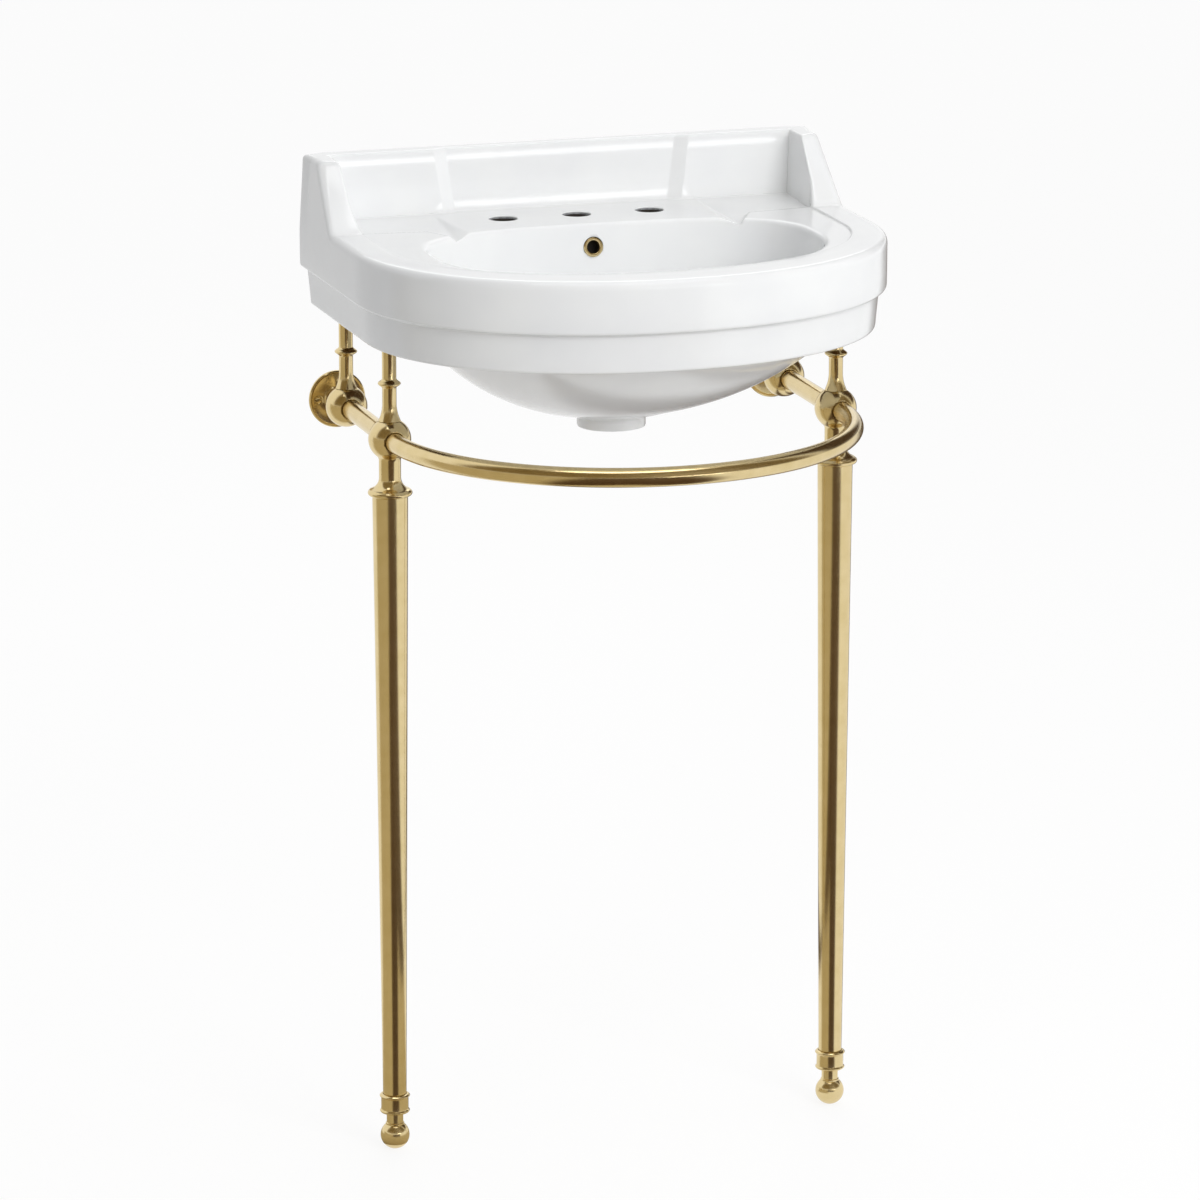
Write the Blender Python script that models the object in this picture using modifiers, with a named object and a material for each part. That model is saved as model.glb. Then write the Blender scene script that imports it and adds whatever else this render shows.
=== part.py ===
"""Console sink: a glazed ceramic washstand basin on a brass stand with a U-shaped towel rail.

Frame: metres, +Z up, +Y towards the wall, +X to the right of someone who faces the basin.
The origin is the middle of the bounding box at floor level.
"""

import math

import bmesh
import bpy
from mathutils import Vector

# Fits
GAP = 0.0003
THREAD_PLAY = 0.00008
OVERRUN = 0.004

# Stand: places of the legs, balls and rail
LEG_INSET = 0.0365
LEG_REACH = 0.192
REAR_REACH = 0.036
RAIL_DROP = 0.097
RAIL_DIAMETER = 0.019
RAIL_WALL = 0.0015
RAIL_STRAIGHT = 0.018
RAIL_BEND_REACH = 0.218
RAIL_BEND_POINTS = 27
RAIL_SECTION_STEPS = 2

# Ball fittings
BALL_DIAMETER = 0.042
BALL_STEPS = 18
NECK_DIAMETER = 0.0216
NECK_FILLET = 0.006
NECK_END_DROP = 0.038
COVE_RADIUS = 0.0125
COVE_SWEEP = 75.0
LEG_FLANGE_DIAMETER = 0.0438
LEG_FLANGE_LIP = 0.0028
LEG_FLANGE_DROP = 0.0532
LEG_SPIGOT_LENGTH = 0.012

# Support posts, their studs and pads
POST_DIAMETER = 0.014
POST_BASE_DIAMETER = 0.022
POST_FLARE_HEIGHT = 0.017
POST_BEAD_DIAMETER = 0.0226
POST_BEAD_HEIGHT = 0.0094
POST_BEAD_RISE = 0.0372
POST_HEAD_DIAMETER = 0.018
POST_HEAD_THICKNESS = 0.0025
POST_STEPS = 14
POST_BORE_DEPTH = 0.0125
STUD_DIAMETER = 0.006
STUD_STEPS = 12
PAD_DIAMETER = 0.018
PAD_THICKNESS = 0.0015

# Legs, ferrules and levelling feet
LEG_TOP_DIAMETER = 0.0350
LEG_BOTTOM_DIAMETER = 0.0234
LEG_WALL = 0.0015
LEG_STEPS = 20
FERRULE_BOTTOM = 0.0372
FERRULE_BODY_DIAMETER = 0.0272
FERRULE_TOP_BEAD_DIAMETER = 0.0304
FERRULE_LOW_BEAD_DIAMETER = 0.0298
FERRULE_BEAD_HEIGHT = 0.0044
FERRULE_HEIGHT = 0.0200
FERRULE_CUP_DEPTH = 0.0035
FERRULE_PLUG_RISE = 0.0180
FERRULE_STEPS = 16
FOOT_BALL_DIAMETER = 0.0290
FOOT_FLAT_DIAMETER = 0.0080
FOOT_NECK_DIAMETER = 0.0165
FOOT_COLLAR_DIAMETER = 0.0185
FOOT_COLLAR_HEIGHT = 0.0020
FOOT_STEM_DIAMETER = 0.0080
FOOT_STEM_LENGTH = 0.0290
FOOT_STEPS = 16

# Wall flanges and their screws
ROSE_DIAMETER = 0.0580
ROSE_RIM_THICKNESS = 0.0040
ROSE_RIM_WIDTH = 0.0015
ROSE_DISH_THICKNESS = 0.0026
ROSE_HUB_DIAMETER = 0.0245
ROSE_HUB_LENGTH = 0.0125
ROSE_SOCKET_FLOOR = 0.0025
ROSE_STEPS = 22
ROSE_SCREW_RADIUS = 0.0200
SCREW_HEAD_DIAMETER = 0.0078
SCREW_HEAD_HEIGHT = 0.0018
SCREW_SHANK_DIAMETER = 0.0042
SCREW_STEPS = 14

# Basin: heights
RIM_Z = 0.913
DECK_DROP = 0.002
BASIN_UNDERSIDE_Z = 0.822
SPLASH_RISE = 0.062
SKIRT_STEP_Z = 0.866
SKIRT_COVE_HEIGHT = 0.008
SKIRT_EDGE_CHAMFER = 0.003
SKIRT_STEP_INSET = 0.0075
SKIRT_TAPER = 0.0035
RIM_ROLL = 0.008

# Basin: plan
BASIN_WIDTH = 0.533
BASIN_REACH = 0.421
BASIN_SIDE_LENGTH = 0.198
BASIN_ROUNDNESS = 2.1
BASIN_FRONT_POINTS = 43
RIM_SIDE_WIDTH = 0.0345
RIM_FRONT_WIDTH = 0.047
RIM_STEP_SLOPE = 0.0015

# Basin: splashback and wings
SPLASH_THICKNESS = 0.0230
SPLASH_LEAN = 0.0040
SPLASH_TOP_CHAMFER = 0.0035
SPLASH_ROOT_DEPTH = 0.012
WALL_RELIEF = 0.0004
PANEL_RECESS = 0.0050
PANEL_HALF_TOP = 0.1200
PANEL_HALF_BASE = 0.1110
PILASTER_CHAMFER_WIDTH = 0.0135
WING_THICKNESS = 0.0305
WING_TOP_REACH = 0.0580
WING_FOOT_REACH = 0.1120
WING_EDGE_ROUND = 0.009
WING_EDGE_STEPS = 4
WING_INNER_ROUND_SHARE = 1 / 3
WING_FRONT_ROUND_SHARE = 1 / 2

# Basin: bowl
BOWL_SIDE_INSET = 0.0665
BOWL_FRONT_LENGTH = 0.143
BOWL_BACK_LENGTH = 0.114
BOWL_CENTRE_REACH = 0.235
BOWL_FRONT_ROUNDNESS = 2.2
BOWL_BACK_ROUNDNESS = 3.0
BOWL_POINTS = 44
BOWL_LIP = 0.006
BOWL_WALL_SLOPE = 0.20
BOWL_FLOOR_Z = 0.744
BOWL_RADIUS_SHARE = 1.29
BOWL_SHELL = 0.012
BOWL_BLEND = 8.0
BOWL_CENTRE_DRIFT = 1.6
BOWL_ROUND_SHARE = 0.35
BOWL_LEVELS = 12
BOWL_UNDER_LEVELS = 8

# Basin: waste outlet, overflow, tap and fixing holes
WASTE_REACH = 0.180
WASTE_BORE_DIAMETER = 0.045
WASTE_SEAT_DIAMETER = 0.062
WASTE_SEAT_DEPTH = 0.0035
WASTE_SEAT_RISE = 0.0100
OUTLET_DIAMETER = 0.068
OUTLET_LENGTH = 0.011
OUTLET_STEPS = 32
OVERFLOW_Z = 0.888
OVERFLOW_TILT = 10.0
OVERFLOW_SEAT_SINK = 0.0008
OVERFLOW_RING_DIAMETER = 0.0198
OVERFLOW_RING_THICKNESS = 0.0016
OVERFLOW_SLEEVE_DIAMETER = 0.0152
OVERFLOW_BORE_DIAMETER = 0.0126
OVERFLOW_SLEEVE_LENGTH = 0.0050
OVERFLOW_STEPS = 24
DUCT_WIDTH = 0.020
DUCT_DEPTH = 0.011
DUCT_WALL = 0.0065
DUCT_REACH = 0.1105
DUCT_BEND_Z = 0.770
DUCT_FOOT_RISE = 0.0035
TAP_SPACING = 0.076
TAP_REACH = 0.067
TAP_HOLE_DIAMETER = 0.0285
TAP_HOLE_ROUND = 0.0020
TAP_HOLE_STEPS = 28
DECK_THICKNESS = 0.018
POCKET_BACK_REACH = 0.026
POCKET_FRONT_REACH = 0.0965
POCKET_HALF_WIDTH = 0.100
SIDE_POCKET_INSET = 0.0815
SIDE_POCKET_ROOF_Z = 0.880
FIXING_HOLE_INSET = 0.045
FIXING_HOLE_Z = 0.850
FIXING_HOLE_DIAMETER = 0.012

# Basin: soap dishes, each with a shelf, a slanted facet and a drain to the bowl
DISH_APEX_INSET = 0.1295
DISH_FRONT_INSET = 0.1015
DISH_OUTER_MARGIN = 0.0010
DISH_BACK_REACH = 0.0270
DISH_BACK_DROP = 0.0004
DISH_LENGTH = 0.079
DISH_DRAIN_LENGTH = 0.034
DISH_FALL_SHARE = 0.050
DISH_CREASE_SHARE = 0.072
DISH_LIP_SHARE = 0.072
DISH_FRONT_SHARE = 0.110
DISH_DRAIN_SHARE = 0.520
DISH_WALL_SHARE = 0.400

# Finishes: colour, roughness, metallic
FINISHES = {
    "glazed_china": ((0.90, 0.90, 0.89), 0.08, 0.0),
    "brushed_gold_brass": ((0.55, 0.40, 0.17), 0.24, 1.0),
    "zinc_steel": ((0.48, 0.48, 0.47), 0.35, 1.0),
    "white_nylon": ((0.75, 0.75, 0.73), 0.50, 0.0),
}

HALF_WIDTH = BASIN_WIDTH / 2
LEG_X = HALF_WIDTH - LEG_INSET
DECK_Z = RIM_Z - DECK_DROP
SPLASH_TOP_Z = RIM_Z + SPLASH_RISE
RAIL_HEIGHT = BASIN_UNDERSIDE_Z - RAIL_DROP
RAIL_REACH = LEG_REACH + RAIL_STRAIGHT + RAIL_BEND_REACH
WALL_Y = (RAIL_REACH + RAIL_DIAMETER / 2) / 2
BALL_R = BALL_DIAMETER / 2
POST_SEAT_R = POST_BASE_DIAMETER / 2
POST_SEAT_RISE = math.sqrt(BALL_R ** 2 - POST_SEAT_R ** 2)
STUD_HOLE_R = STUD_DIAMETER / 2 + GAP
RAIL_HOLE_R = RAIL_DIAMETER / 2 + GAP
LEG_TOP_Z = RAIL_HEIGHT - LEG_FLANGE_DROP - LEG_FLANGE_LIP - GAP
LEG_BOTTOM_Z = FERRULE_BOTTOM + FERRULE_HEIGHT - FERRULE_CUP_DEPTH + GAP
BOWL_HALF_WIDTH = HALF_WIDTH - BOWL_SIDE_INSET
DISH_FRONT_REACH = DISH_BACK_REACH + DISH_LENGTH
DISH_DRAIN_REACH = DISH_FRONT_REACH + DISH_DRAIN_LENGTH
BOWL_INNER_RADIUS = BOWL_HALF_WIDTH * BOWL_RADIUS_SHARE
SIDE_POCKET_HALF_WIDTH = HALF_WIDTH - SIDE_POCKET_INSET
FIXING_HOLE_X = SIDE_POCKET_HALF_WIDTH - FIXING_HOLE_INSET

PARTS = "console_sink"
CUTTERS = "console_sink_cutters"


def clear_scene():
    """Remove every object of the open scene."""
    for item in list(bpy.data.objects):
        bpy.data.objects.remove(item, do_unlink=True)


def collection(name):
    """Make a collection in the scene."""
    group = bpy.data.collections.new(name)
    bpy.context.scene.collection.children.link(group)
    return group


def finish(name):
    """Return the named finish as a material, made on its first use."""
    found = bpy.data.materials.get(name)
    if found:
        return found
    colour, roughness, metallic = FINISHES[name]
    made = bpy.data.materials.new(name)
    made.use_nodes = True
    shader = made.node_tree.nodes["Principled BSDF"]
    shader.inputs["Base Color"].default_value = (*colour, 1.0)
    shader.inputs["Roughness"].default_value = roughness
    shader.inputs["Metallic"].default_value = metallic
    return made


def add_object(name, mesh, material=None):
    """Put a mesh in the scene as a part, or as a cutter when it has no material."""
    piece = bpy.data.objects.new(name, mesh)
    bpy.data.collections[PARTS if material else CUTTERS].objects.link(piece)
    if material:
        mesh.materials.append(finish(material))
    else:
        piece.hide_render = True
        piece.display_type = "WIRE"
    return piece


def part_y(reach):
    """Turn a distance out from the wall into the part's Y."""
    return WALL_Y - reach


def arc(centre, radius, start, end, count):
    """Points of a round stretch of profile, from one angle in degrees to another."""
    turns = [math.radians(start + (end - start) * i / (count - 1)) for i in range(count)]
    return [(centre[0] + radius * math.cos(t), centre[1] + radius * math.sin(t)) for t in turns]


def turned(name, profile, steps, material=None, location=(0, 0, 0), rotation=(0, 0, 0), closed=False):
    """Turn a profile of (radius, height) points round Z; it runs down its outer side."""
    mesh = bpy.data.meshes.new(name)
    edges = [(i, i + 1) for i in range(len(profile) - 1)]
    if closed:
        edges.append((len(profile) - 1, 0))
    mesh.from_pydata([(r, 0, z) for r, z in profile], edges, [])
    piece = add_object(name, mesh, material)
    screw = piece.modifiers.new("Turn", "SCREW")
    screw.steps = steps
    screw.render_steps = steps
    screw.use_merge_vertices = True
    screw.merge_threshold = 0.00001
    screw.use_smooth_shade = True
    piece.location = location
    piece.rotation_euler = rotation
    return piece


def rod(name, radius, length, steps, location, rotation=(0, 0, 0)):
    """Make a plain cylinder cutter whose axis starts at its location."""
    mesh = bpy.data.meshes.new(name)
    shape = bmesh.new()
    bmesh.ops.create_cone(
        shape, cap_ends=True, segments=steps, radius1=radius, radius2=radius, depth=length)
    bmesh.ops.translate(shape, verts=shape.verts, vec=Vector((0, 0, length / 2)))
    shape.to_mesh(mesh)
    shape.free()
    piece = add_object(name, mesh)
    piece.location = location
    piece.rotation_euler = rotation
    return piece


def loft(name, rings, material=None):
    """Skin rings of equal count, listed bottom to top and anticlockwise, and cap both ends."""
    mesh = bpy.data.meshes.new(name)
    shape = bmesh.new()
    rows = [[shape.verts.new(point) for point in ring] for ring in rings]
    count = len(rows[0])
    for lower, upper in zip(rows, rows[1:]):
        for i in range(count):
            j = (i + 1) % count
            shape.faces.new((lower[i], lower[j], upper[j], upper[i]))
    shape.faces.new(reversed(rows[0]))
    shape.faces.new(rows[-1])
    bmesh.ops.recalc_face_normals(shape, faces=shape.faces)
    shape.to_mesh(mesh)
    shape.free()
    return add_object(name, mesh, material)


def slab(name, outline, half_width):
    """Extrude an outline of (reach, z) points along X, the same distance to both sides."""
    curve = bpy.data.curves.new(name, "CURVE")
    curve.dimensions = "2D"
    curve.fill_mode = "BOTH"
    curve.extrude = half_width
    line = curve.splines.new("POLY")
    line.points.add(len(outline) - 1)
    for point, (reach, z) in zip(line.points, outline):
        point.co = (part_y(reach), z, 0, 1)
    line.use_cyclic_u = True
    guide = bpy.data.objects.new(name + "_guide", curve)
    bpy.data.collections[CUTTERS].objects.link(guide)
    guide.rotation_euler = (math.pi / 2, 0, math.pi / 2)
    return curve_to_mesh(guide, name)


def curve_to_mesh(guide, name, material=None):
    """Turn a curve object into a welded mesh object in the same place, and remove the curve."""
    bpy.context.view_layer.update()
    evaluated = guide.evaluated_get(bpy.context.evaluated_depsgraph_get())
    mesh = bpy.data.meshes.new_from_object(evaluated)
    shape = bmesh.new()
    shape.from_mesh(mesh)
    bmesh.ops.remove_doubles(shape, verts=shape.verts, dist=0.00001)
    bmesh.ops.recalc_face_normals(shape, faces=shape.faces)
    shape.to_mesh(mesh)
    shape.free()
    mesh.materials.clear()
    piece = add_object(name, mesh, material)
    piece.matrix_world = guide.matrix_world.copy()
    bpy.data.objects.remove(guide, do_unlink=True)
    return piece


def combine(target, operation, *tools):
    """Add exact Booleans of one kind to a piece, in order."""
    for tool in tools:
        step = target.modifiers.new(tool.name, "BOOLEAN")
        step.operation = operation
        step.solver = "EXACT"
        step.object = tool


def sides():
    """Left and right, as a name and the sign of X."""
    return (("left", -1), ("right", 1))


def power(value, exponent):
    """Raise a signed value to a power, keeping its sign."""
    return math.copysign(abs(value) ** exponent, value)


def skirt_outline(inset, z, back_reach=0.0, front_inset=None):
    """Plan of the basin at one height: straight wall side, straight flanks, round front."""
    half = HALF_WIDTH - inset
    depth = BASIN_REACH - (inset if front_inset is None else front_inset) - BASIN_SIDE_LENGTH
    points = [(-half, part_y(back_reach), z)]
    for i in range(BASIN_FRONT_POINTS):
        turn = math.pi * i / (BASIN_FRONT_POINTS - 1)
        x = -half * power(math.cos(turn), 2 / BASIN_ROUNDNESS)
        reach = BASIN_SIDE_LENGTH + depth * power(math.sin(turn), 2 / BASIN_ROUNDNESS)
        points.append((x, part_y(reach), z))
    points.append((half, part_y(back_reach), z))
    return points


def skirt_body():
    """The block under the rim: chamfered foot, lower band, cove, upper band and rolled rim."""
    low_inset = SKIRT_STEP_INSET + SKIRT_TAPER
    levels = [
        (BASIN_UNDERSIDE_Z, low_inset + SKIRT_EDGE_CHAMFER),
        (BASIN_UNDERSIDE_Z + SKIRT_EDGE_CHAMFER, low_inset),
        (SKIRT_STEP_Z - SKIRT_COVE_HEIGHT, SKIRT_STEP_INSET),
        (SKIRT_STEP_Z - SKIRT_COVE_HEIGHT / 2, SKIRT_STEP_INSET / 2),
        (SKIRT_STEP_Z, 0.0),
    ]
    for inset, z in arc((RIM_ROLL, RIM_Z - RIM_ROLL), RIM_ROLL, 180, 90, 4):
        levels.append((z, inset))
    return loft("basin", [skirt_outline(inset, z) for z, inset in levels], "glazed_china")


def bowl_half_width(z):
    """Inner half-width: a steep wall that runs smoothly into a shallow round floor."""
    wall = BOWL_HALF_WIDTH - BOWL_WALL_SLOPE * (DECK_Z - z)
    rise = BOWL_FLOOR_Z + BOWL_INNER_RADIUS - z
    floor = math.sqrt(max(BOWL_INNER_RADIUS ** 2 - rise ** 2, (WASTE_BORE_DIAMETER / 2) ** 2))
    return (wall ** -BOWL_BLEND + floor ** -BOWL_BLEND) ** (-1 / BOWL_BLEND)


def bowl_centre(half):
    """Reach of the bowl's middle, which moves to the waste as the bowl narrows."""
    share = min(half / BOWL_HALF_WIDTH, 1.0)
    return WASTE_REACH + (BOWL_CENTRE_REACH - WASTE_REACH) * share ** BOWL_CENTRE_DRIFT


def bowl_length(half, full_length):
    """Length of the bowl's back or front half; low down the bowl is round about the waste."""
    shaping = min(half / BOWL_HALF_WIDTH / BOWL_ROUND_SHARE, 1.0)
    return half * (1 + (full_length / BOWL_HALF_WIDTH - 1) * shaping)


def bowl_ring(half, z, grow=0.0):
    """Plan of the bowl at a half-width: flatter at the back and rounder in front."""
    points = []
    for i in range(BOWL_POINTS):
        turn = 2 * math.pi * i / BOWL_POINTS
        back = math.sin(turn) >= 0
        length = bowl_length(half, BOWL_BACK_LENGTH if back else BOWL_FRONT_LENGTH)
        bend = 2 / (BOWL_BACK_ROUNDNESS if back else BOWL_FRONT_ROUNDNESS)
        x = (half + grow) * power(math.cos(turn), bend)
        y = (length + grow) * power(math.sin(turn), bend)
        points.append((x, part_y(bowl_centre(half)) + y, z))
    return points


def bowl_inside():
    """Cutter for the water space, from its floor up through a rounded lip."""
    rings = []
    top = DECK_Z - BOWL_LIP
    for i in range(BOWL_LEVELS):
        share = math.sin(math.pi / 2 * i / (BOWL_LEVELS - 1)) ** 2
        z = BOWL_FLOOR_Z + (top - BOWL_FLOOR_Z) * share
        rings.append(bowl_ring(bowl_half_width(z), z))
    for outward, z in arc((BOWL_LIP, top), BOWL_LIP, 180, 90, 4)[1:]:
        rings.append(bowl_ring(bowl_half_width(top), z, outward))
    rings.append(bowl_ring(bowl_half_width(top), DECK_Z + OVERRUN, BOWL_LIP))
    return loft("bowl_inside", rings)


def bowl_underside():
    """The round belly that shows under the skirt, one shell thickness outside the water space."""
    radius = BOWL_INNER_RADIUS + BOWL_SHELL
    middle = BOWL_FLOOR_Z + BOWL_INNER_RADIUS
    widest = math.sqrt(radius ** 2 - (middle - BASIN_UNDERSIDE_Z) ** 2)
    slim = OUTLET_DIAMETER / 2
    rings = []
    for i in range(BOWL_UNDER_LEVELS):
        half = slim + (widest - slim) * math.sin(math.pi / 2 * i / (BOWL_UNDER_LEVELS - 1))
        z = middle - math.sqrt(radius ** 2 - half ** 2)
        rings.append(bowl_ring(half, z))
    rings.append(bowl_ring(widest, BASIN_UNDERSIDE_Z + BOWL_SHELL))
    return loft("bowl_underside", rings)


def outlet():
    """The waste outlet's round boss under the bowl."""
    length = OUTLET_LENGTH + BOWL_SHELL
    bottom = outlet_bottom()
    return rod("outlet", OUTLET_DIAMETER / 2, length, OUTLET_STEPS, (0, part_y(WASTE_REACH), bottom))


def outlet_bottom():
    """Height of the outlet's lower face."""
    return BOWL_FLOOR_Z - BOWL_SHELL - OUTLET_LENGTH


def splash_plan(z, half_panel, lean, shrink=0.0):
    """Plan of the splashback: the middle panel is set back between two slanted steps."""
    half = HALF_WIDTH - WALL_RELIEF
    face = SPLASH_THICKNESS - lean - shrink
    edge = half_panel + PILASTER_CHAMFER_WIDTH
    front = [(-half, face), (-edge, face), (-half_panel, face - PANEL_RECESS),
             (half_panel, face - PANEL_RECESS), (edge, face), (half, face)]
    outline = [(-half, WALL_RELIEF)] + front + [(half, WALL_RELIEF)]
    return [(x, part_y(reach), z) for x, reach in outline]


def splashback():
    """The back wall above the deck, leaning back a little, with a chamfered top edge."""
    root = DECK_Z - SPLASH_ROOT_DEPTH
    shoulder = SPLASH_TOP_Z - SPLASH_TOP_CHAMFER
    rings = [
        splash_plan(root, PANEL_HALF_BASE, 0.0),
        splash_plan(DECK_Z, PANEL_HALF_BASE, 0.0),
        splash_plan(shoulder, PANEL_HALF_TOP, SPLASH_LEAN),
        splash_plan(SPLASH_TOP_Z, PANEL_HALF_TOP, SPLASH_LEAN, SPLASH_TOP_CHAMFER),
    ]
    return loft("splashback", rings)


def wing(name, sign):
    """A side wing: a sloping front edge, with its outer and inner top edges rounded."""
    outer = HALF_WIDTH - WALL_RELIEF
    root = DECK_Z - SPLASH_ROOT_DEPTH
    slope = (WING_FOOT_REACH - WING_TOP_REACH) / (SPLASH_TOP_Z - DECK_Z)
    rings = []
    across = [(0.0, WING_EDGE_ROUND)]
    for i in range(1, WING_EDGE_STEPS):
        turn = math.pi / 2 * i / (WING_EDGE_STEPS - 1)
        across.append((WING_EDGE_ROUND * (1 - math.cos(turn)), WING_EDGE_ROUND * (1 - math.sin(turn))))
    stations = [(outer - step, drop) for step, drop in across]
    for step, drop in reversed(across):
        stations.append((outer - WING_THICKNESS + step * WING_INNER_ROUND_SHARE,
                         drop * WING_INNER_ROUND_SHARE))
    for x, drop in stations:
        top = SPLASH_TOP_Z - drop
        upper = WING_TOP_REACH - drop * WING_FRONT_ROUND_SHARE
        foot = upper + slope * (top - root)
        corners = [(WALL_RELIEF, root), (foot, root), (upper, top), (WALL_RELIEF, top)]
        rings.append([(sign * x, part_y(reach), z) for reach, z in corners])
    return loft("wing_" + name, rings)


def ledge_cutter():
    """Lowers everything inside the raised rim to the deck's level."""
    return loft("ledge", [
        skirt_outline(RIM_SIDE_WIDTH, DECK_Z, -OVERRUN, RIM_FRONT_WIDTH),
        skirt_outline(RIM_SIDE_WIDTH - RIM_STEP_SLOPE, RIM_Z + OVERRUN, -OVERRUN,
                      RIM_FRONT_WIDTH - RIM_STEP_SLOPE),
    ])


def dish_floor(reach):
    """Height of a soap dish's shelf, which slopes down towards the front."""
    return DECK_Z - DISH_BACK_DROP - DISH_FALL_SHARE * (reach - DISH_BACK_REACH)


def dish_cutter(name, sign):
    """A soap dish: its shelf drains to the bowl past a steep corner, beside a slanted facet."""
    apex = HALF_WIDTH - DISH_APEX_INSET
    corner = HALF_WIDTH - DISH_FRONT_INSET
    outer = HALF_WIDTH - WALL_RELIEF - WING_THICKNESS - DISH_OUTER_MARGIN
    front = DISH_FRONT_REACH - DISH_FRONT_SHARE * (outer - corner)
    length = DISH_DRAIN_REACH - DISH_BACK_REACH
    foot = apex + DISH_BACK_DROP * (DISH_CREASE_SHARE + DISH_LIP_SHARE) / DISH_FALL_SHARE
    mouth = corner - DISH_DRAIN_SHARE * (DISH_DRAIN_REACH - DISH_FRONT_REACH)
    floor = [(foot, DISH_BACK_REACH), (outer, DISH_BACK_REACH), (outer, front), (corner, DISH_FRONT_REACH),
             (mouth, DISH_DRAIN_REACH), (foot + DISH_CREASE_SHARE * length, DISH_DRAIN_REACH)]
    run = [DISH_WALL_SHARE * (DECK_Z - dish_floor(reach)) for x, reach in floor]
    square = 1 - DISH_FRONT_SHARE * DISH_DRAIN_SHARE
    turn_x = run[3] * (1 - DISH_DRAIN_SHARE) / square
    turn_reach = run[3] * (1 - DISH_FRONT_SHARE) / square
    edge = [(apex, DISH_BACK_REACH), (outer, DISH_BACK_REACH), (outer, front + run[2]),
            (corner + turn_x, DISH_FRONT_REACH + turn_reach), (mouth + run[4], DISH_DRAIN_REACH),
            (apex - DISH_LIP_SHARE * length, DISH_DRAIN_REACH)]
    rings = [[(sign * x, part_y(reach), dish_floor(reach)) for x, reach in floor]]
    for z in (DECK_Z, RIM_Z + OVERRUN):
        rings.append([(sign * x, part_y(reach), z) for x, reach in edge])
    return loft("dish_" + name, rings)


def tap_hole(number, x):
    """A tap hole with a rounded upper edge."""
    r = TAP_HOLE_DIAMETER / 2
    edge = arc((r + TAP_HOLE_ROUND, DECK_Z - TAP_HOLE_ROUND), TAP_HOLE_ROUND, 90, 180, 3)
    wide = r + TAP_HOLE_ROUND
    bottom = DECK_Z - DECK_THICKNESS - OVERRUN
    profile = [(0, DECK_Z + OVERRUN), (wide, DECK_Z + OVERRUN)] + edge + [(r, bottom), (0, bottom)]
    return turned("tap_hole_%d" % number, profile, TAP_HOLE_STEPS, location=(x, part_y(TAP_REACH), 0))


def box_cutter(name, low, high):
    """A plain box between two corners given as (x, reach, z)."""
    x0, x1 = low[0], high[0]
    y0, y1 = part_y(high[1]), part_y(low[1])
    rings = [[(x0, y0, z), (x1, y0, z), (x1, y1, z), (x0, y1, z)] for z in (low[2], high[2])]
    return loft(name, rings)


def overflow_wall():
    """The point on the bowl's back wall where the overflow comes out, and its outward slant."""
    half = bowl_half_width(OVERFLOW_Z)
    reach = bowl_centre(half) - bowl_length(half, BOWL_BACK_LENGTH)
    return Vector((0, part_y(reach), OVERFLOW_Z))


def overflow_frame():
    """Seat point and rotation of the overflow ring; its local Z points into the bowl."""
    tilt = math.radians(OVERFLOW_TILT)
    outward = Vector((0, -math.cos(tilt), math.sin(tilt)))
    seat = overflow_wall() - outward * OVERFLOW_SEAT_SINK
    return seat, outward, (math.pi / 2 - tilt, 0, 0)


def overflow_cutters():
    """The flat seat for the ring and the hole behind it."""
    seat, outward, rotation = overflow_frame()
    recess = rod("overflow_seat", OVERFLOW_RING_DIAMETER / 2 + GAP, OVERRUN, OVERFLOW_STEPS,
                 seat, rotation)
    depth = part_y(DUCT_REACH) - seat.y
    hole = rod("overflow_hole", OVERFLOW_SLEEVE_DIAMETER / 2 + GAP, depth + OVERRUN / 2, OVERFLOW_STEPS,
               seat - outward * depth, rotation)
    return recess, hole


def duct_outline(spread, top):
    """Outline of the overflow channel, widened by a spread: down behind the bowl, forward
    under the waste's seat and into the waste bore."""
    back = DUCT_REACH - DUCT_DEPTH / 2 - spread
    front = DUCT_REACH + DUCT_DEPTH / 2 + spread
    knee = WASTE_REACH - WASTE_SEAT_DIAMETER / 2
    end = WASTE_REACH - WASTE_BORE_DIAMETER / 2 + DUCT_DEPTH
    roof = outlet_bottom() + DUCT_FOOT_RISE + DUCT_DEPTH
    floor = max(roof - DUCT_DEPTH - spread, outlet_bottom() + GAP)
    return [(back, top), (back, DUCT_BEND_Z), (knee - DUCT_DEPTH - spread, floor), (end, floor),
            (end, roof), (knee, roof), (front, DUCT_BEND_Z + DUCT_DEPTH / 2), (front, top)]


def duct_pieces():
    """The overflow channel down to the waste bore, and the rib under the bowl that holds it."""
    rib = slab("duct_rib", duct_outline(DUCT_WALL, BASIN_UNDERSIDE_Z + BOWL_SHELL),
               DUCT_WIDTH / 2 + DUCT_WALL)
    duct = slab("duct", duct_outline(0.0, OVERFLOW_Z + DUCT_DEPTH / 2), DUCT_WIDTH / 2)
    return rib, duct


def waste_cutter():
    """The waste bore with a dished seat for the waste's flange."""
    r = WASTE_BORE_DIAMETER / 2
    seat = WASTE_SEAT_DIAMETER / 2
    floor = BOWL_FLOOR_Z - WASTE_SEAT_DEPTH
    bottom = outlet_bottom() - OVERRUN
    top = BOWL_FLOOR_Z + WASTE_SEAT_RISE
    profile = [(0, top), (seat, top), (seat, BOWL_FLOOR_Z), (r, floor), (r, bottom), (0, bottom)]
    return turned("waste_bore", profile, OUTLET_STEPS, location=(0, part_y(WASTE_REACH), 0))


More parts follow.
